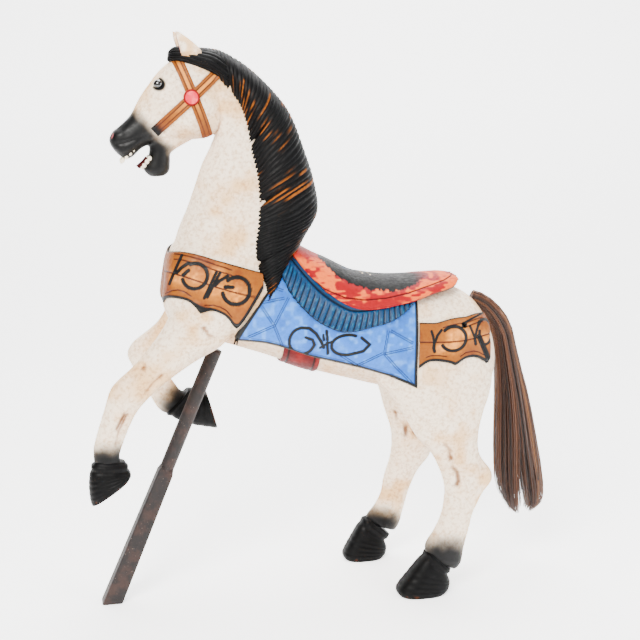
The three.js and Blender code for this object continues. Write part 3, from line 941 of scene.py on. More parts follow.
def tailStrands():
    # each strand keeps its own share of the lock's depth and width, drifts and waves by noise,
    # and ends in one of two tufts; rings of 3 points make it a thin tube
    count, steps = tailLook["strands"], tailLook["steps"]
    turn = rng.uniform(0, 2 * np.pi, count)
    spread = np.sqrt(rng.uniform(0, 1, count))
    across, aside = spread * np.cos(turn), spread * np.sin(turn)
    start = np.where(rng.uniform(0, 1, count) < 0.7, 0.0, rng.uniform(0, 0.35, count))
    tuft = np.where(across > 0.02, 0.55, -0.38)  # middles of the outer and inner tufts
    end = 1.0 - 0.16 * ramp(-across, 0.35, 1.0) - 0.10 * np.exp(-((across - 0.05) / 0.12) ** 2)
    end = end - rng.uniform(0, 0.10, count) ** 1.0
    t = np.linspace(0, 1, steps)[None, :]
    v = start[:, None] + (end - start)[:, None] * t
    frontX, frontZ, backX, backZ, half, _ = sectionsAt(tailHair, v)
    late = ramp(v, 0.55, 1.0)
    pulled = across[:, None] + (tuft - across)[:, None] * 0.35 * late
    wave = 0.10 * (noise(np.stack([v * 4, turn[:, None] * 3 + 0 * v, spread[:, None] * 9 + 0 * v],
                                  -1),
                         1, 12) - 0.5)
    depth = pulled + wave * 1.6
    width = aside[:, None] * (1 - 0.25 * late) + wave * np.sin(turn * 7)[:, None]
    middle = np.stack([(frontX + backX) / 2 + (frontX - backX) / 2 * depth, half * width,
                       (frontZ + backZ) / 2 + (frontZ - backZ) / 2 * depth], -1)
    along = np.gradient(middle, axis=1)
    along /= np.linalg.norm(along, axis=-1, keepdims=True)
    first = np.cross(along, [0.0, 1.0, 0.0])
    first /= np.maximum(np.linalg.norm(first, axis=-1, keepdims=True), 1e-9)
    second = np.cross(along, first)
    thick = tailLook["radius"] * rng.uniform(0.6, 1.3, count)[:, None] * (1 - 0.75 * t ** 3)
    rings = [middle + (first * math.cos(a) + second * math.sin(a)) * thick[..., None]
             for a in (0, 2.094, 4.189)]
    points = np.stack(rings, 2)  # strand, step, corner
    quads = gridQuads(steps, 3, closed=True)[None] + (np.arange(count) * steps * 3)[:, None, None]
    ends = np.arange(count)[:, None] * steps * 3
    triangles = np.concatenate([ends + [0, 2, 1], ends + (steps - 1) * 3 + [0, 1, 2]])
    # painted light: strands on the tail's outer side are made lighter than those towards the rump;
    # apart from that the strand colour varies at random
    light = noise(np.stack([turn * 2, spread * 4, turn * 0], -1), 1, 13)
    shade = 0.45 * light + 0.55 * rng.uniform(0, 1, count)
    outerHighlight = ramp(across, 0.1, 0.9) * 0.35
    color = blend(srgb("#3b2615"), srgb("#7d5530"), ramp(shade + outerHighlight, 0.25, 0.7))
    color = blend(color, srgb("#c39a66"), ramp(shade + outerHighlight, 0.68, 1.1))
    color = np.repeat(color, steps * 3, axis=0)
    return points.reshape(-1, 3), quads.reshape(-1, 4), triangles, color


hairStrand = plainSurface("brown horsehair", 0.45, Anisotropic=0.4)
print("tail")
points, quads, triangles, colors = tailStrands()
addPiece("tail_strands", (points, quads, triangles), hairStrand, "tail", colors)
# the tail's inner hair as one solid core, coloured darker than any strand as painted shade inside
# the tail
coreSections = np.array(tailHair) * [1, 1, 1, 1, 0.62, 1]
coreSections[:, [0, 2]] = (coreSections[:, [0, 2]] * [[0.82, 0.18]] + coreSections[:, [2, 0]]
                           * [[0.18, 0.82]])
core = loftGrid(coreSections[:9], 60, 40)
coreRidges = 1.6 * np.cos(2 * np.pi * np.linspace(0, 1, 40, endpoint=False) * 10)[None, :]
core = core + outwardNormals(core) * (coreRidges - 2)[..., None]
addPiece("tail_shaded_core", closedGrid(core), hairStrand, "tail",
         tubeColors(np.broadcast_to(srgb("#2a1a0e"), core.shape)))

rod = {"slant": 23.1, "foot": -441.0, "footWidth": 38.0, "topWidth": 31.0, "bar": 290.0,
       "shoulder": 12.0, "radius": 14.0, "end": 560.0}


def slanted(along, ring, squareness):
    # a point of the bar's own frame, turned by the slant about Y, with its foot cut at the floor
    tilt = math.radians(rod["slant"])
    turn = np.linspace(0, 2 * np.pi, ring.shape[1], endpoint=False)[None, :]
    wide = ring * np.sign(np.cos(turn)) * np.abs(np.cos(turn)) ** squareness
    deep = ring * np.sign(np.sin(turn)) * np.abs(np.sin(turn)) ** squareness
    high = np.maximum(along, wide * math.tan(tilt))
    return np.stack([rod["foot"] + wide * math.cos(tilt) + high * math.sin(tilt), deep,
                     12 + high * math.cos(tilt) - wide * math.sin(tilt)], -1)


def rodGrids():
    rows = np.concatenate([[-30], np.linspace(0, rod["bar"], 60),
                           [rod["bar"] + rod["shoulder"]]])[:, None]
    half = np.interp(rows, [0, rod["bar"], rod["bar"] + rod["shoulder"]],
                     [rod["footWidth"] / 2, rod["topWidth"] / 2, rod["radius"] * 0.9])
    bar = slanted(rows, half * np.ones(64), np.full(64, 0.22)[None, :])
    rise = np.linspace(rod["bar"] - 10, rod["end"], 50)[:, None]
    pipe = slanted(rise, rod["radius"] * np.ones((50, 40)), 1.0)
    return bar, pipe


addPiece("support_rod", capped(rodGrids()), ironRust, "support_rod")
def panelNormals(grid):
    # grid normals turned away from the horse's middle line beside the panel
    facing = gridNormals(grid)
    away = grid - grid.mean((0, 1)) * [1, 0, 1]
    return facing * np.sign((facing * away).sum())


def slab(outer, thickness, stride=4):
    # a closed shell: the outer grid, a coarser inner one thickness below it, and a rim of
    # triangles
    rows, columns = outer.shape[:2]
    inner = (outer - panelNormals(outer) * thickness)[::stride, ::stride]
    innerRows, innerColumns = inner.shape[:2]

    def border(rowCount, columnCount):
        number = np.arange(rowCount * columnCount).reshape(rowCount, columnCount)
        return np.concatenate([number[0, :-1], number[:-1, -1], number[-1, :0:-1],
                               number[:0:-1, 0]])

    outerLoop = border(rows, columns)
    innerLoop = border(innerRows, innerColumns) + rows * columns
    near = np.repeat(innerLoop, stride)
    following = np.roll(outerLoop, -1)
    rim = np.concatenate([
        np.stack([outerLoop, near, following], 1),
        np.stack([outerLoop[::stride], np.roll(innerLoop, 1), innerLoop], 1),
    ])
    quads = np.concatenate([gridQuads(rows, columns)[:, ::-1],
                            gridQuads(innerRows, innerColumns, first=rows * columns)])
    points = np.concatenate([outer.reshape(-1, 3), inner.reshape(-1, 3)])
    quads, rim = turnedOut(points, quads, rim)
    return points, quads, rim


def slabValues(values, stride=4):
    flat = values.reshape(-1, *values.shape[2:])
    return np.concatenate([flat, values[::stride, ::stride].reshape(-1, *values.shape[2:])])


def laidOn(target, grid, direction=None):
    # points pushed along the direction until they meet the target, then moved to its nearest place
    rows, columns = grid.shape[:2]
    piece = placeMesh(buildMesh("laid", grid.reshape(-1, 3), gridQuads(rows, columns)))
    turn = np.eye(3)
    if direction is not None:
        rotation = Vector(direction).to_track_quat("Z", "Y").to_matrix()
        turn = np.array(rotation)
        piece.data.transform(rotation.inverted().to_4x4())
        piece.matrix_world = rotation.to_4x4()
        bpy.context.view_layer.update()
        push = piece.modifiers.new("push", "SHRINKWRAP")
        push.wrap_method, push.target = "PROJECT", target
        push.use_project_z = push.use_positive_direction = True
        push.use_negative_direction = False
    cling = piece.modifiers.new("cling", "SHRINKWRAP")
    cling.wrap_method, cling.target = "NEAREST_SURFACEPOINT", target
    evaluated = piece.evaluated_get(bpy.context.evaluated_depsgraph_get())
    flat = np.empty(rows * columns * 3)
    evaluated.data.vertices.foreach_get("co", flat)
    bpy.data.objects.remove(piece)
    points = flat.reshape(-1, 3) @ turn.T / mm + [0, 0, carving["floor"]]
    return points.reshape(rows, columns, 3)


def evened(grid, rounds):
    # each round moves a point halfway to the mean of its four neighbours; border points slide
    # along it
    grid = np.array(grid)
    for _ in range(rounds):
        inner = (grid[:-2, 1:-1] + grid[2:, 1:-1] + grid[1:-1, :-2] + grid[1:-1, 2:]) / 4
        grid[1:-1, 1:-1] += 0.5 * (inner - grid[1:-1, 1:-1])
        for line in (grid[0], grid[-1], grid[:, 0], grid[:, -1]):
            line[1:-1] += 0.5 * ((line[:-2] + line[2:]) / 2 - line[1:-1])
    return grid


# The patterns are laid out in the flat: x and z of a point as seen against the upright plane
# y = depth, from the left front and a little above, and mirrored for the right side.
lean = {"x": 0.2126, "z": -0.2323}


def flatView(points, depth):
    away = depth - np.abs(points[..., 1])  # how far the point lies inside the plane
    return np.stack([points[..., 0] - lean["x"] * away, points[..., 2] - lean["z"] * away], -1)


def flatGrid(low, high, rows, columns, depth, side):
    # rows from the low line to the high line, each a list of (x, z), started well outside the
    # horse
    low, high = np.array(low, float), np.array(high, float)
    x = np.linspace(low[0, 0], low[-1, 0], columns)
    bottom = np.interp(x, low[:, 0], low[:, 1])
    top = np.interp(x, high[:, 0], high[:, 1])
    share = np.linspace(0, 1, rows)[:, None]
    z = bottom + (top - bottom) * share
    start = 140.0
    return np.stack([x + 0 * z - lean["x"] * start, side * (depth + start) + 0 * z,
                     z - lean["z"] * start], -1)


def inward(side):
    return (lean["x"], -side, lean["z"])


def flatDistance(flat, path):
    distance, _ = lineDistance(flat.reshape(-1, 2), path)
    return distance.reshape(flat.shape[:2])


def arc(at, radii, start, end, count=28):
    # points round an ellipse between two angles in degrees
    angle = np.radians(np.linspace(start, end, count))
    return np.stack([at[0] + radii[0] * np.cos(angle), at[1] + radii[1] * np.sin(angle)], 1)


def drawn(flat, strokes):
    # share of cover of strokes (path, width) with edges 0.8 mm soft
    cover = np.zeros(flat.shape[:2])
    for path, width in strokes:
        distance = flatDistance(flat, path)
        cover = np.maximum(cover, ramp(-distance, -width / 2 - 0.5, -width / 2 + 0.4))
    return cover


def edgeDistance(flat, closed=(True, True, True, True)):
    # distance to the panel's own border lines: low, high, first and last column
    lines = (flat[0], flat[-1], flat[:, 0], flat[:, -1])
    distance = np.full(flat.shape[:2], 1e9)
    for line, used in zip(lines, closed):
        if used:
            distance = np.minimum(distance, flatDistance(flat, line[::6]))
    return distance


def panelPiece(name, base, look):
    # lifts the base by the look's height and relief and closes it as a slab with its colours
    outer = base + panelNormals(base) * (look["lift"] + look["relief"])[..., None]
    return addPiece(name, slab(outer, look["thickness"]), look["material"], "horse",
                    slabValues(look["color"]), slabValues(look["hollow"]))


strapLook = {"lift": 5.0, "thickness": 9.0, "edge": 3.2}
breastTop = [(-345, 750), (-306, 748), (-291, 745), (-268, 738), (-248, 731), (-229, 723),
             (-211, 717), (-198, 712), (-179, 706), (-166, 702), (-137, 694)]
breastBottom = [(-345, 643), (-324, 649), (-311, 654), (-300, 655), (-287, 651), (-275, 642),
                (-265, 630), (-258, 620), (-250, 622), (-233, 623), (-220, 619), (-209, 612),
                (-200, 600), (-191, 577), (-137, 665)]
breastStrokes = [
    (((-292, 732), (-315, 680)), 4.5), (((-227, 697), (-250, 650)), 4.5),
    (((-220, 696), (-244, 652)), 4.5), (((-301, 700), (-292, 709), (-279, 717)), 5.0),
    (arc((-267, 692), (23.5, 23.5), 110, -168), 5.5), (((-289, 695), (-279, 703)), 5.5),
    (((-229, 673), (-220, 682), (-206, 689)), 5.0),
    (arc((-190, 661), (25.5, 25.5), 128, -172), 5.8), (((-210, 669), (-197, 668)), 6.0),
]
breastMiddle = ((-345, 711), (-323, 705), (-284, 691), (-242, 675), (-200, 660), (-155, 647))


def strapColors(flat, strokes, middle, borders, glow, edges):
    # ochre, lighter amber round the glow places; brown engraved lines, black strokes and outline
    warmth = np.zeros(flat.shape[:2])
    for (x, z), reach in glow:
        warmth += np.exp(-(((flat[..., 0] - x) ** 2 + (flat[..., 1] - z) ** 2) / reach ** 2))
    rough = noise(flat, 5, 14)
    warmth = np.clip(warmth, 0, 1) * (0.65 + 0.6 * (rough - 0.35))
    color = blend(tones["ochre"], tones["deepOchre"], 0.5 * ramp(noise(flat, 22, 15), 0.5, 0.9))
    color = blend(color, tones["amber"], warmth)
    carved = np.maximum(drawn(flat, [(middle, 2.6)]) if middle else 0, drawn(flat, borders))
    color = blend(color, tones["deepOchre"] * 0.6, 0.85 * carved)
    black = drawn(flat, [(line, 1.25 * wide) for line, wide in strokes])
    color = blend(color, tones["black"], black)
    return blend(color, tones["black"], 1 - ramp(edges, *strapEdge)), carved, black


strapEdge = (4.8, 6.2)


def offsetLine(line, rise, first, last):
    return [(x, z + rise) for x, z in line if first <= x <= last]


def breastStrap():
    # round the chest: middle line x = -140 - 178 cos^0.8, y = 101 sin^0.8 of the angle, then
    # clung on
    angle = np.linspace(-np.pi / 2, np.pi / 2, 321)
    x = -140 - 178 * np.cos(angle) ** 0.8
    y = 101 * np.sign(angle) * np.abs(np.sin(angle)) ** 0.8
    seenX = x - lean["x"] * (90 - np.abs(y))
    share = np.linspace(0, 1, 73)[:, None]
    bottom = np.interp(seenX, *np.array(breastBottom).T) + lean["z"] * (90 - np.abs(y))
    top = np.interp(seenX, *np.array(breastTop).T) + lean["z"] * (90 - np.abs(y))
    grid = np.stack([x + 0 * share, y + 0 * share, bottom + (top - bottom) * share], -1)
    base = evened(laidOn(body, grid), 10)
    flat = flatView(base, 90)
    edges = edgeDistance(flat, (True, False, False, False))
    topEdge = edgeDistance(flat, (False, True, False, False))
    borders = [(offsetLine(breastTop, -12, -330, -190), 2.2),
               (offsetLine(breastTop, -22, -330, -180), 2.2),
               (offsetLine(breastBottom, 13, -330, -266), 2.2),
               (offsetLine(breastBottom, 13, -250, -200), 2.2)]
    glow = (((-267, 690), 20), ((-190, 655), 22), ((-232, 668), 20), ((-300, 690), 14),
            ((-225, 700), 12))
    color, carved, black = strapColors(flat, breastStrokes, breastMiddle, borders, glow, edges)
    color = blend(color, tones["black"], 1 - ramp(topEdge, 1.2, 2.4))
    rim = np.minimum(edges, topEdge)
    relief = -1.3 * carved - 0.8 * black - 2.0 * (1 - ramp(rim, 0, 3.5))
    look = {"lift": strapLook["lift"], "relief": relief, "thickness": strapLook["thickness"],
            "color": color, "hollow": 0.6 * carved + 0.2 * ramp(-rim, -9,
                                                                -3), "material": strapWood,
            "slot": "ochre_paint"}
    return panelPiece("breast_strap", base, look)


rumpTop = [(168, 583), (201, 581), (215, 584), (231, 588), (249, 590), (261, 590), (272, 593),
           (284, 596), (297, 597), (321, 597)]
rumpBottom = [(168, 492), (173, 495), (182, 502), (191, 505), (207, 504), (222, 501), (233, 498),
              (240, 493), (251, 500), (262, 507), (278, 509), (289, 506), (299, 500), (310, 494),
              (314, 500), (317, 520), (318, 545), (319, 575), (321, 594)]
rumpStrokes = [
    (((191, 565), (195, 553), (196, 546)), 3.8), (((197, 543), (196, 532), (198, 525)), 5.0),
    (((199, 545), (203, 556), (211, 566)), 4.2), (arc((236, 548), (25.5, 24), 135, -150), 5.2),
    (((270, 571), (275, 559), (279, 550)), 3.8), (((289, 577), (284, 562), (281, 551)), 3.8),
    (((280, 547), (282, 535)), 5.0), (((288, 572), (294, 580), (301, 581)), 4.0),
    (arc((303, 557), (13, 24), 95, -190), 4.2),
]
rumpMiddle = ((168, 545), (200, 543), (229, 542), (254, 543), (278, 546), (298, 551), (316, 555))


def rumpStrap(side):
    rows, columns = (84, 128) if side < 0 else (48, 72)
    grid = flatGrid(rumpBottom, rumpTop, rows + 1, columns + 1, 95, side)
    base = evened(laidOn(body, grid, inward(side)), 10)
    flat = flatView(base, 95)
    edges = edgeDistance(flat, (True, False, False, True))
    topEdge = edgeDistance(flat, (False, True, False, False))
    borders = [(offsetLine(rumpTop, -13, 205, 300), 2.0),
               (offsetLine(rumpTop, -20, 240, 300), 2.0),
               (offsetLine(rumpBottom, 12, 176, 232), 2.0), (offsetLine(rumpBottom, 12, 248, 305),
                                                             2.0)]
    glow = (((236, 556), 17), ((236, 532), 14), ((262, 560), 16), ((300, 545), 14),
            ((210, 530), 12))
    color, carved, black = strapColors(flat, rumpStrokes, rumpMiddle, borders, glow, edges)
    color = blend(color, tones["black"], 1 - ramp(topEdge, 1.5, 2.7))
    relief = -1.3 * carved - 0.8 * black - 2.0 * (1 - ramp(np.minimum(edges, topEdge), 0, 3.5))
    look = {"lift": strapLook["lift"], "relief": relief, "thickness": strapLook["thickness"],
            "color": color, "hollow": 0.6 * carved, "material": strapWood, "slot": "ochre_paint"}
    return panelPiece("rump_strap_left" if side < 0 else "rump_strap_right", base, look)


blanketBottom = [(-194, 569), (-165, 565), (-139, 561), (-114, 554), (-98, 548), (-73, 537),
                 (-49, 529), (-1, 516), (48, 502), (98, 485), (129, 470), (164, 453)]
blanketTop = [(-194, 571), (-129, 663), (-108, 690), (-60, 650), (-20, 615), (20, 600), (60, 598),
              (100, 602), (135, 615), (164, 628)]
blanketDoubles = [
    ((-120, 594), (-148, 637)), ((-120, 594), (-93, 645)), ((-120, 594), (-170, 576)),
    ((-120, 594), (-103, 551)), ((-149, 638), (-101, 645)), ((-126, 668), (-104, 659)),
    ((43, 508), (7, 532)), ((43, 508), (92, 528)), ((96, 527), (103, 571)), ((96, 527),
                                                                             (155, 462)),
    ((96, 527), (153, 536)), ((108, 571), (153, 545)),
]
blanketStrokes = [
    (arc((-66, 562), (25, 25), -22, -270), 4.6),
    (((-66, 587), (-52, 585), (-39, 574), (-29, 558), (-24, 547)), 4.6),
    (((-42, 553), (-46, 563), (-59, 568)), 4.2),
    (arc((22, 549), (31, 19), 58, 300), 4.6), (((38, 532), (54, 535), (66, 547), (50, 561)), 4.6),
    (((-19, 578), (-17, 561)), 4.4), (((-25, 571), (-24, 561)), 3.6), (((-17, 556), (-16, 535)),
                                                                       4.4),
    (((-31, 547), (-20, 553), (-9, 557)), 3.4),
]


def doubled(runs, gap):
    # each run as two parallel lines gap apart
    lines = []
    for start, end in np.array(runs, float):
        along = (end - start) / np.linalg.norm(end - start)
        aside = np.array([-along[1], along[0]]) * gap / 2
        lines += [((start + aside, end + aside), 1.3), ((start - aside, end - aside), 1.3)]
    return lines


def blanketPanel(side):
    rows, columns = (104, 248) if side < 0 else (64, 152)
    grid = flatGrid(blanketBottom, blanketTop, rows + 1, columns + 1, 98, side)
    base = evened(laidOn(body, grid, inward(side)), 14)
    flat = flatView(base, 98)
    edges = edgeDistance(flat, (True, False, False, True))
    frontEdge = edgeDistance(flat, (False, True, False, False))
    carved = drawn(flat, doubled(blanketDoubles, 3.6))
    inner = drawn(flat, [(offsetLine(blanketBottom, 8, -175, 150), 1.3)])
    carved = np.maximum(carved, 0.6 * inner)
    black = drawn(flat, [(line, 1.25 * wide) for line, wide in blanketStrokes])
    color = blend(tones["blue"], tones["deepBlue"], 0.30 * ramp(noise(flat, 26, 17), 0.45, 0.9))
    color = blend(color, srgb("#9cc6f2"), 0.5 * ramp(noise(flat, 9, 18), 0.5, 0.9))
    color = blend(color, srgb("#29507f"), 0.8 * carved)
    color = blend(color, tones["black"], black)
    outline = 1 - ramp(edges, 5.0, 6.6)
    outline = np.maximum(outline, (1 - ramp(frontEdge, 3.4, 4.8)) * (flat[..., 0] < -110))
    color = blend(color, tones["black"], outline)
    relief = -1.2 * carved - 0.6 * black - 2.5 * (1 - ramp(edges, 0, 4))
    look = {"lift": 6.0, "relief": relief, "thickness": 10.0, "color": color,
            "hollow": 0.4 * carved,
            "material": blueWood, "slot": "blue_paint"}
    return panelPiece("blanket_left" if side < 0 else "blanket_right", base, look)


# Upper and lower edge of the pleated ruffle and its height over the body, front to rear
ruffleLines = [
    section([-112, 696], [-86, 726], 0), section([-97, 663], [-74, 716], 0),
    section([-82, 641], [-56, 697], 0), section([-63, 620], [-38, 678], 0),
    section([-42, 601], [-15, 658], 0), section([-15, 585], [11, 640], 0),
    section([14, 575], [34, 628], 0), section([43, 576], [58, 623], 0),
    section([73, 581], [82, 622], 0), section([104, 586], [108, 625], 0),
    section([135, 599], [134, 629], 0), section([162, 617], [158, 634], 0),
]


def ruffle(side):
    rows, columns = (48, 400) if side < 0 else (24, 240)
    table = alongSections(ruffleLines, columns + 1)
    lowX, lowZ, highX, highZ = (table[:, i] for i in range(4))
    share = np.linspace(0, 1, rows + 1)[:, None]
    grid = np.stack([lowX + (highX - lowX) * share, side * 260 + 0 * lowX * share,
                     lowZ + (highZ - lowZ) * share], -1)
    base = evened(laidOn(body, grid, (0.0, -side, 0.0)), 16)
    run = np.concatenate([[0], np.cumsum(np.hypot(np.diff(lowX), np.diff(lowZ)))])[None, :]
    jitter = 3.0 * noise(np.stack([run / 11, 0 * run], -1), 1, 19)
    pleat = (run + jitter) / 12.5
    shape = np.abs(np.sin(np.pi * pleat)) ** 0.8
    open_ = 1 - ramp(share, 0.50, 0.70)  # pleats die out below the plain upper band
    crease = ramp(-np.abs(share - 0.70), -0.05, -0.01)
    relief = 4.2 * (shape - 0.6) * open_ - 1.8 * crease + 1.2 * ramp(share, 0.70, 0.79)
    relief = relief + 0.5 * np.sin(2 * np.pi * pleat * 3) * open_ - 2.5 * (1
                                                                           - ramp(share, 0, 0.07))
    flat = flatView(base, 110)
    # painted shade: the pleat hollows dark teal, the crests and the plain band full teal
    color = blend(tones["tealShade"], tones["teal"], ramp(shape * open_ + 1 - open_, 0.2, 0.7))
    # painted highlight: pale teal patches on the pleat crests
    tips = ramp(noise(flat, 5, 20), 0.5, 0.8) * ramp(shape, 0.75, 1.0) * open_
    color = blend(color, tones["tealHighlight"], 0.6 * tips)
    # painted shade: darker along the crease where the pleats meet the plain band
    color = blend(color, tones["tealShade"] * 0.5, 0.9 * crease)
    # painted shade: near black along the lower edge, where it curls in towards the blanket
    color = blend(color, srgb("#0a2c3c"), 0.85 * (1 - ramp(share, 0.0, 0.05)) + 0 * shape)
    look = {"lift": 12.5, "relief": relief, "thickness": 9.0, "color": color,
            "hollow": 0.4 * (1 - shape) * open_, "material": tealWood, "slot": "teal_paint"}
    return panelPiece("ruffle_left" if side < 0 else "ruffle_right", base, look)


# Saddle: edge point [x, z] and middle point [x, z] of each rib, and the edge's distance aside
saddleRibs = [
    section([-84, 722], [-86, 744], 70), section([-72, 710], [-66, 736], 82),
    section([-60, 696], [-48, 727], 90), section([-41, 675], [-24, 714], 99),
    section([-17, 653], [4, 701], 107), section([11, 633], [34, 685], 111),
    section([36, 621], [58, 674], 112), section([62, 616], [80, 669], 111),
    section([95, 617], [108, 664], 108), section([126, 621], [135, 661], 103),
    section([164, 627], [168, 660], 97), section([204, 635], [206, 662], 86),
    section([242, 641], [243, 664], 68), section([262, 645], [264, 661], 46),
    section([272, 648], [273, 653], 22),
]


def saddlePiece():
    # a rib from edge to edge: y = half * sin^0.9 a, height falling from middle to edge by cos^0.9
    # a
    columns, rows = 220, 152
    table = alongSections(saddleRibs, columns + 1)[None]
    edgeX, edgeZ, midX, midZ, half = (table[..., i] for i in range(5))
    turn = np.linspace(-np.pi / 2, np.pi / 2, rows + 1)[:, None]
    fall = np.cos(turn) ** 0.9
    y = half * np.sign(turn) * np.abs(np.sin(turn)) ** 0.9
    grid = np.stack([edgeX + (midX - edgeX) * fall, y, edgeZ + (midZ - edgeZ) * fall], -1)
    grid = evened(grid, 4)
    flat = flatView(grid, 0)
    edges = edgeDistance(flatView(grid, 110), (True, True, False, False))
    line = ((-62, 702), (-55, 690), (-30, 660), (0, 635), (40, 617), (80, 611), (120, 613),
            (160, 620), (200, 632), (240, 645), (257, 654), (262, 660), (255, 668))
    carved = drawn(flat, [(line, 2.2)])
    seatEdge = ((-15, 720), (-14, 700), (0, 688), (20, 665), (50, 645), (90, 632), (130, 628),
                (160, 632), (180, 640), (204, 652), (224, 668))
    above = flat[..., 1] - np.interp(flat[..., 0], *np.array(seatEdge).T)
    bristle = 9 * (noise(np.stack([flat[..., 0] * 0.4, flat[..., 1] * 0.05], -1), 1, 21) - 0.5)
    inside = (flat[..., 0] > -15) & (flat[..., 0] < 235)
    fade = 1 - ramp(flat[..., 0], 170, 222)
    seat = ramp(above + bristle, -2, 1.5) * inside * fade
    strokes = noise(np.stack([flat[..., 0] * 0.10, flat[..., 1] * 0.22], -1), 1, 22)
    patches = noise(np.stack([flat[..., 0] * 0.035, flat[..., 1] * 0.05], -1), 1, 23)
    frontward = 0.16 * ramp(-flat[..., 0], -60, 40) + 0.12 * ramp(flat[..., 0], 150, 230)
    brushed = ramp(0.5 * strokes + 0.5 * patches + frontward, 0.46, 0.62)
    color = blend(tones["saddleRed"], tones["orange"], 0.85 * brushed)
    color = blend(color, tones["saddleRed"], 0.8 * ramp(flat[..., 1], 694, 706))
    color = blend(color, tones["darkRed"], 0.85 * carved)
    color = blend(color, tones["seat"], seat)
    for x, z, wide, high in ((51, 681, 19, 6), (129, 669, 17, 5.5)):
        petal = ((flat[..., 0] - x) / wide) ** 2 + ((flat[..., 1] - z) / high) ** 2
        color = blend(color, tones["slate"], 1 - ramp(petal, 0.8, 1.15))
    for x, z, size in ((80, 672, 2.4), (88, 669, 3.0), (95, 672, 2.2), (76, 668, 2.2),
                       (92, 664, 1.8),
                       (149, 672, 2.2), (155, 670, 2.4), (28, 694, 2.4)):
        dot = np.hypot(flat[..., 0] - x, (flat[..., 1] - z) * 1.6)
        color = blend(color, tones["dot"], 1 - ramp(dot, size * 0.7, size * 1.1))
    under = 1 - ramp(edges, 3, 5)
    bare = under * ramp(flat[..., 0], 175, 215)
    color = blend(color, srgb("#8e7f73"), bare)
    relief = -1.4 * carved - 4.0 * (1 - ramp(edges, 0, 7)) + 0.4 * (noise(grid, 18, 24) - 0.5)
    look = {"lift": 0.0, "relief": relief, "thickness": 13.0, "color": color,
            "hollow": 0.5 * carved,
            "material": redWood, "slot": "red_paint"}
    return panelPiece("saddle", grid, look)


def girthPiece():
    # a band under the belly, x -98 to -28, with a groove near each border
    columns, rows = 48, 120
    x = np.linspace(-98, -28, columns + 1)[None, :]
    turn = np.linspace(-0.31 * np.pi, 0.31 * np.pi, rows + 1)[:, None]
    table = sectionsAt(trunk, np.interp(x, alongSections(trunk, 300)[:, 2],
                                        np.linspace(0, 1, 300)))
    _, topZ, _, lowZ, half, _ = table
    middle, high = (topZ + lowZ) / 2, (topZ - lowZ) / 2
    y = half * np.sign(turn) * np.abs(np.sin(turn)) ** bodyLook["boxiness"]
    z = middle - high * np.cos(turn) ** bodyLook["boxiness"]
    base = np.stack([x + 0 * turn, y, z], -1)
    base = evened(laidOn(body, base), 6)
    grooves = np.exp(-((x + 88) / 1.8) ** 2) + np.exp(-((x + 38) / 1.8) ** 2)
    border = 1 - ramp(np.minimum(x + 98, -28 - x), 0, 3)
    relief = (-1.6 * grooves - 2.0 * border) + 0 * turn
    color = blend(srgb("#8e2a30"), srgb("#b04a48"), 0.7 * ramp(noise(base, 12, 25), 0.45, 0.8))
    color = blend(color, tones["darkRed"] * 0.4, (0.9 * grooves) + 0 * turn)
    look = {"lift": 4.2, "relief": relief, "thickness": 9.0, "color": color,
            "hollow": 0.4 * grooves + 0 * turn, "material": redWood, "slot": "red_paint"}
    return panelPiece("girth", base, look)


print("harness")
breastStrap()
girthPiece()
for side in (-1, 1):
    rumpStrap(side)
    blanketPanel(side)
    ruffle(side)
saddlePiece()


def bridleStrap(name, start, end, side):
    # a band 20 mm wide on the head, with two engraved lines and a lighter middle
    columns, rows = (128, 16)
    start, end = np.array(start, float), np.array(end, float)
    along = (end - start) / np.linalg.norm(end - start)
    aside = np.array([-along[1], along[0]])
    t = np.linspace(0, 1, columns + 1)[None, :, None]
    w = np.linspace(-10, 10, rows + 1)[:, None, None]
    flat = start + (end - start) * t + aside * w
    grid = np.stack([flat[..., 0], np.full(flat.shape[:2], side * 120.0), flat[..., 1]], -1)
    base = evened(laidOn(headPiece, grid, (0.0, -side, 0.0)), 8)
    w = w[..., 0] + 0 * t[..., 0]
    carved = np.exp(-((np.abs(w) - 4.2) / 0.9) ** 2)
    border = 1 - ramp(10 - np.abs(w), 0, 2)
    color = blend(tones["ochre"], tones["amber"], 0.75 * (np.abs(w) < 3.6)
                  * ramp(t[..., 0], 0.0, 0.1)
                  * (1 - ramp(t[..., 0], 0.45, 0.8)))
    color = blend(color, tones["deepOchre"] * 0.5, 0.85 * carved)
    color = blend(color, tones["deepOchre"], 0.6 * ramp(t[..., 0], 0.72, 1.0) + 0.5 * border)
    toMuzzle = -0.727 * (base[..., 0] + 372) - 0.686 * (base[..., 2] - 1012)
    color = blend(color, tones["black"], ramp(toMuzzle, -16, 8))
    look = {"lift": 3.2, "relief": -0.9 * carved - 1.2 * border, "thickness": 6.0, "color": color,
            "hollow": 0.5 * carved, "material": strapWood, "slot": "ochre_paint"}
    return panelPiece(name, base, look)


for side, word in ((-1, "left"), (1, "right")):
    bridleStrap("bridle_cheek_" + word, (-284, 1086), (-228, 938), side)
    bridleStrap("bridle_nose_" + word, (-208, 1064), (-330, 955), side)


def rosette(side):
    # a turned boss: rim, groove and low dome round the y axis
    radius = np.array([0.5, 8, 13.5, 15, 15, 13.4, 12.4, 11.4, 8, 4, 0.5])[:, None]
    out = np.array([-6, -6, -5, -2, 2.2, 3.6, 3.4, 1.6, 3.0, 3.9, 4.1])[:, None]
    turn = np.linspace(0, 2 * np.pi, 48, endpoint=False)[None, :]
    grid = np.stack([-262 + radius * np.cos(turn), side * (52.5 + out) + 0 * turn,
                     1018 + radius * np.sin(turn)], -1)
    color = blend(tones["pink"], srgb("#f08a92"), ramp(noise(grid, 6, 26), 0.4, 0.8))
    ring = ramp(radius, 11.6, 12.4) * ramp(out, -2, 0) + 0 * turn
    color = blend(color, srgb("#a03028"), 0.9 * ring)
    return grid, color


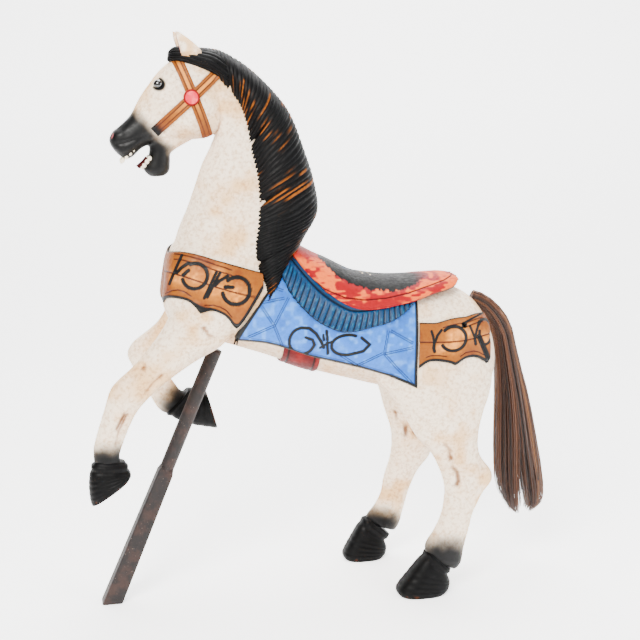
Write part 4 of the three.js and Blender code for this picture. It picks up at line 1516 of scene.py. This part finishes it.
rosettes = [rosette(side) for side in (-1, 1)]
addPiece("rosettes", capped([grid for grid, _ in rosettes]), redWood, "horse",
         np.concatenate([tubeColors(color) for _, color in rosettes]))
camera = bpy.data.objects.new("camera", bpy.data.cameras.new("camera"))
scene.collection.objects.link(camera)
scene.camera = camera
view = {"azimuth": -12.0, "elevation": 12.8, "distance": 2.4, "target": (-0.010, 0.0, 0.564),
        "lens": 67.5}
around, up = math.radians(view["azimuth"]), math.radians(view["elevation"])
outward = Vector((math.sin(around) * math.cos(up), -math.cos(around) * math.cos(up), math.sin(up)))
camera.location = Vector(view["target"]) + outward * view["distance"]
camera.rotation_euler = outward.to_track_quat("Z", "Y").to_euler()
camera.data.lens = view["lens"]
camera.data.sensor_width = 36


def areaLight(name, place, aim, size, watts, color):
    light = bpy.data.lights.new(name, "AREA")
    light.shape = "DISK"
    light.size, light.energy, light.color = size, watts, color
    lamp = bpy.data.objects.new(name, light)
    scene.collection.objects.link(lamp)
    lamp.location = place
    lamp.rotation_euler = (Vector(place) - Vector(aim)).to_track_quat("Z", "Y").to_euler()


areaLight("key", (-1.6, -2.4, 2.7), (0, 0, 0.6), 2.0, 330, (1.0, 0.98, 0.95))
areaLight("fill", (2.4, -1.8, 1.4), (0, 0, 0.6), 2.2, 120, (0.96, 0.98, 1.0))
areaLight("top", (0.2, 0.6, 2.9), (0, 0, 0.6), 1.8, 120, (1.0, 1.0, 1.0))
world = bpy.data.worlds.new("studio")
scene.world = world
world.use_nodes = True
world.node_tree.nodes["Background"].inputs["Color"].default_value = (0.96, 0.97, 1.0, 1)
world.node_tree.nodes["Background"].inputs["Strength"].default_value = 0.35

sweepLook = {"behind": 1500.0, "bend": 900.0, "high": 4200.0, "front": 2600.0, "half": 4200.0}


def backdrop():
    # a white sweep: floor, quarter circle, wall, square to the camera's side
    bend = np.linspace(0, np.pi / 2, 24)
    far = np.concatenate([[-sweepLook["front"], sweepLook["behind"]],
                          sweepLook["behind"] + sweepLook["bend"] * np.sin(bend[1:]),
                          [sweepLook["behind"] + sweepLook["bend"]]])
    high = np.concatenate([[0, 0], sweepLook["bend"] * (1 - np.cos(bend[1:])),
                           [sweepLook["high"]]])
    aside = np.linspace(-sweepLook["half"], sweepLook["half"], 12)
    back = -np.array([outward.x, outward.y]) / math.hypot(outward.x, outward.y)
    right = np.array([-back[1], back[0]])
    flat = far[:, None, None] * back + aside[None, :, None] * right
    grid = np.concatenate([flat, (high[:, None] + 12 + 0 * aside)[..., None]], -1)
    return placeMesh(buildMesh("backdrop", grid.reshape(-1, 3), gridQuads(*grid.shape[:2])))


sweepPiece = backdrop()
sweepPiece.data.materials.append(plainSurface("white paper", 0.9, srgb("#fbfbfb"),
                                              Emission_Color=(1, 1, 1, 1), Emission_Strength=1.6))
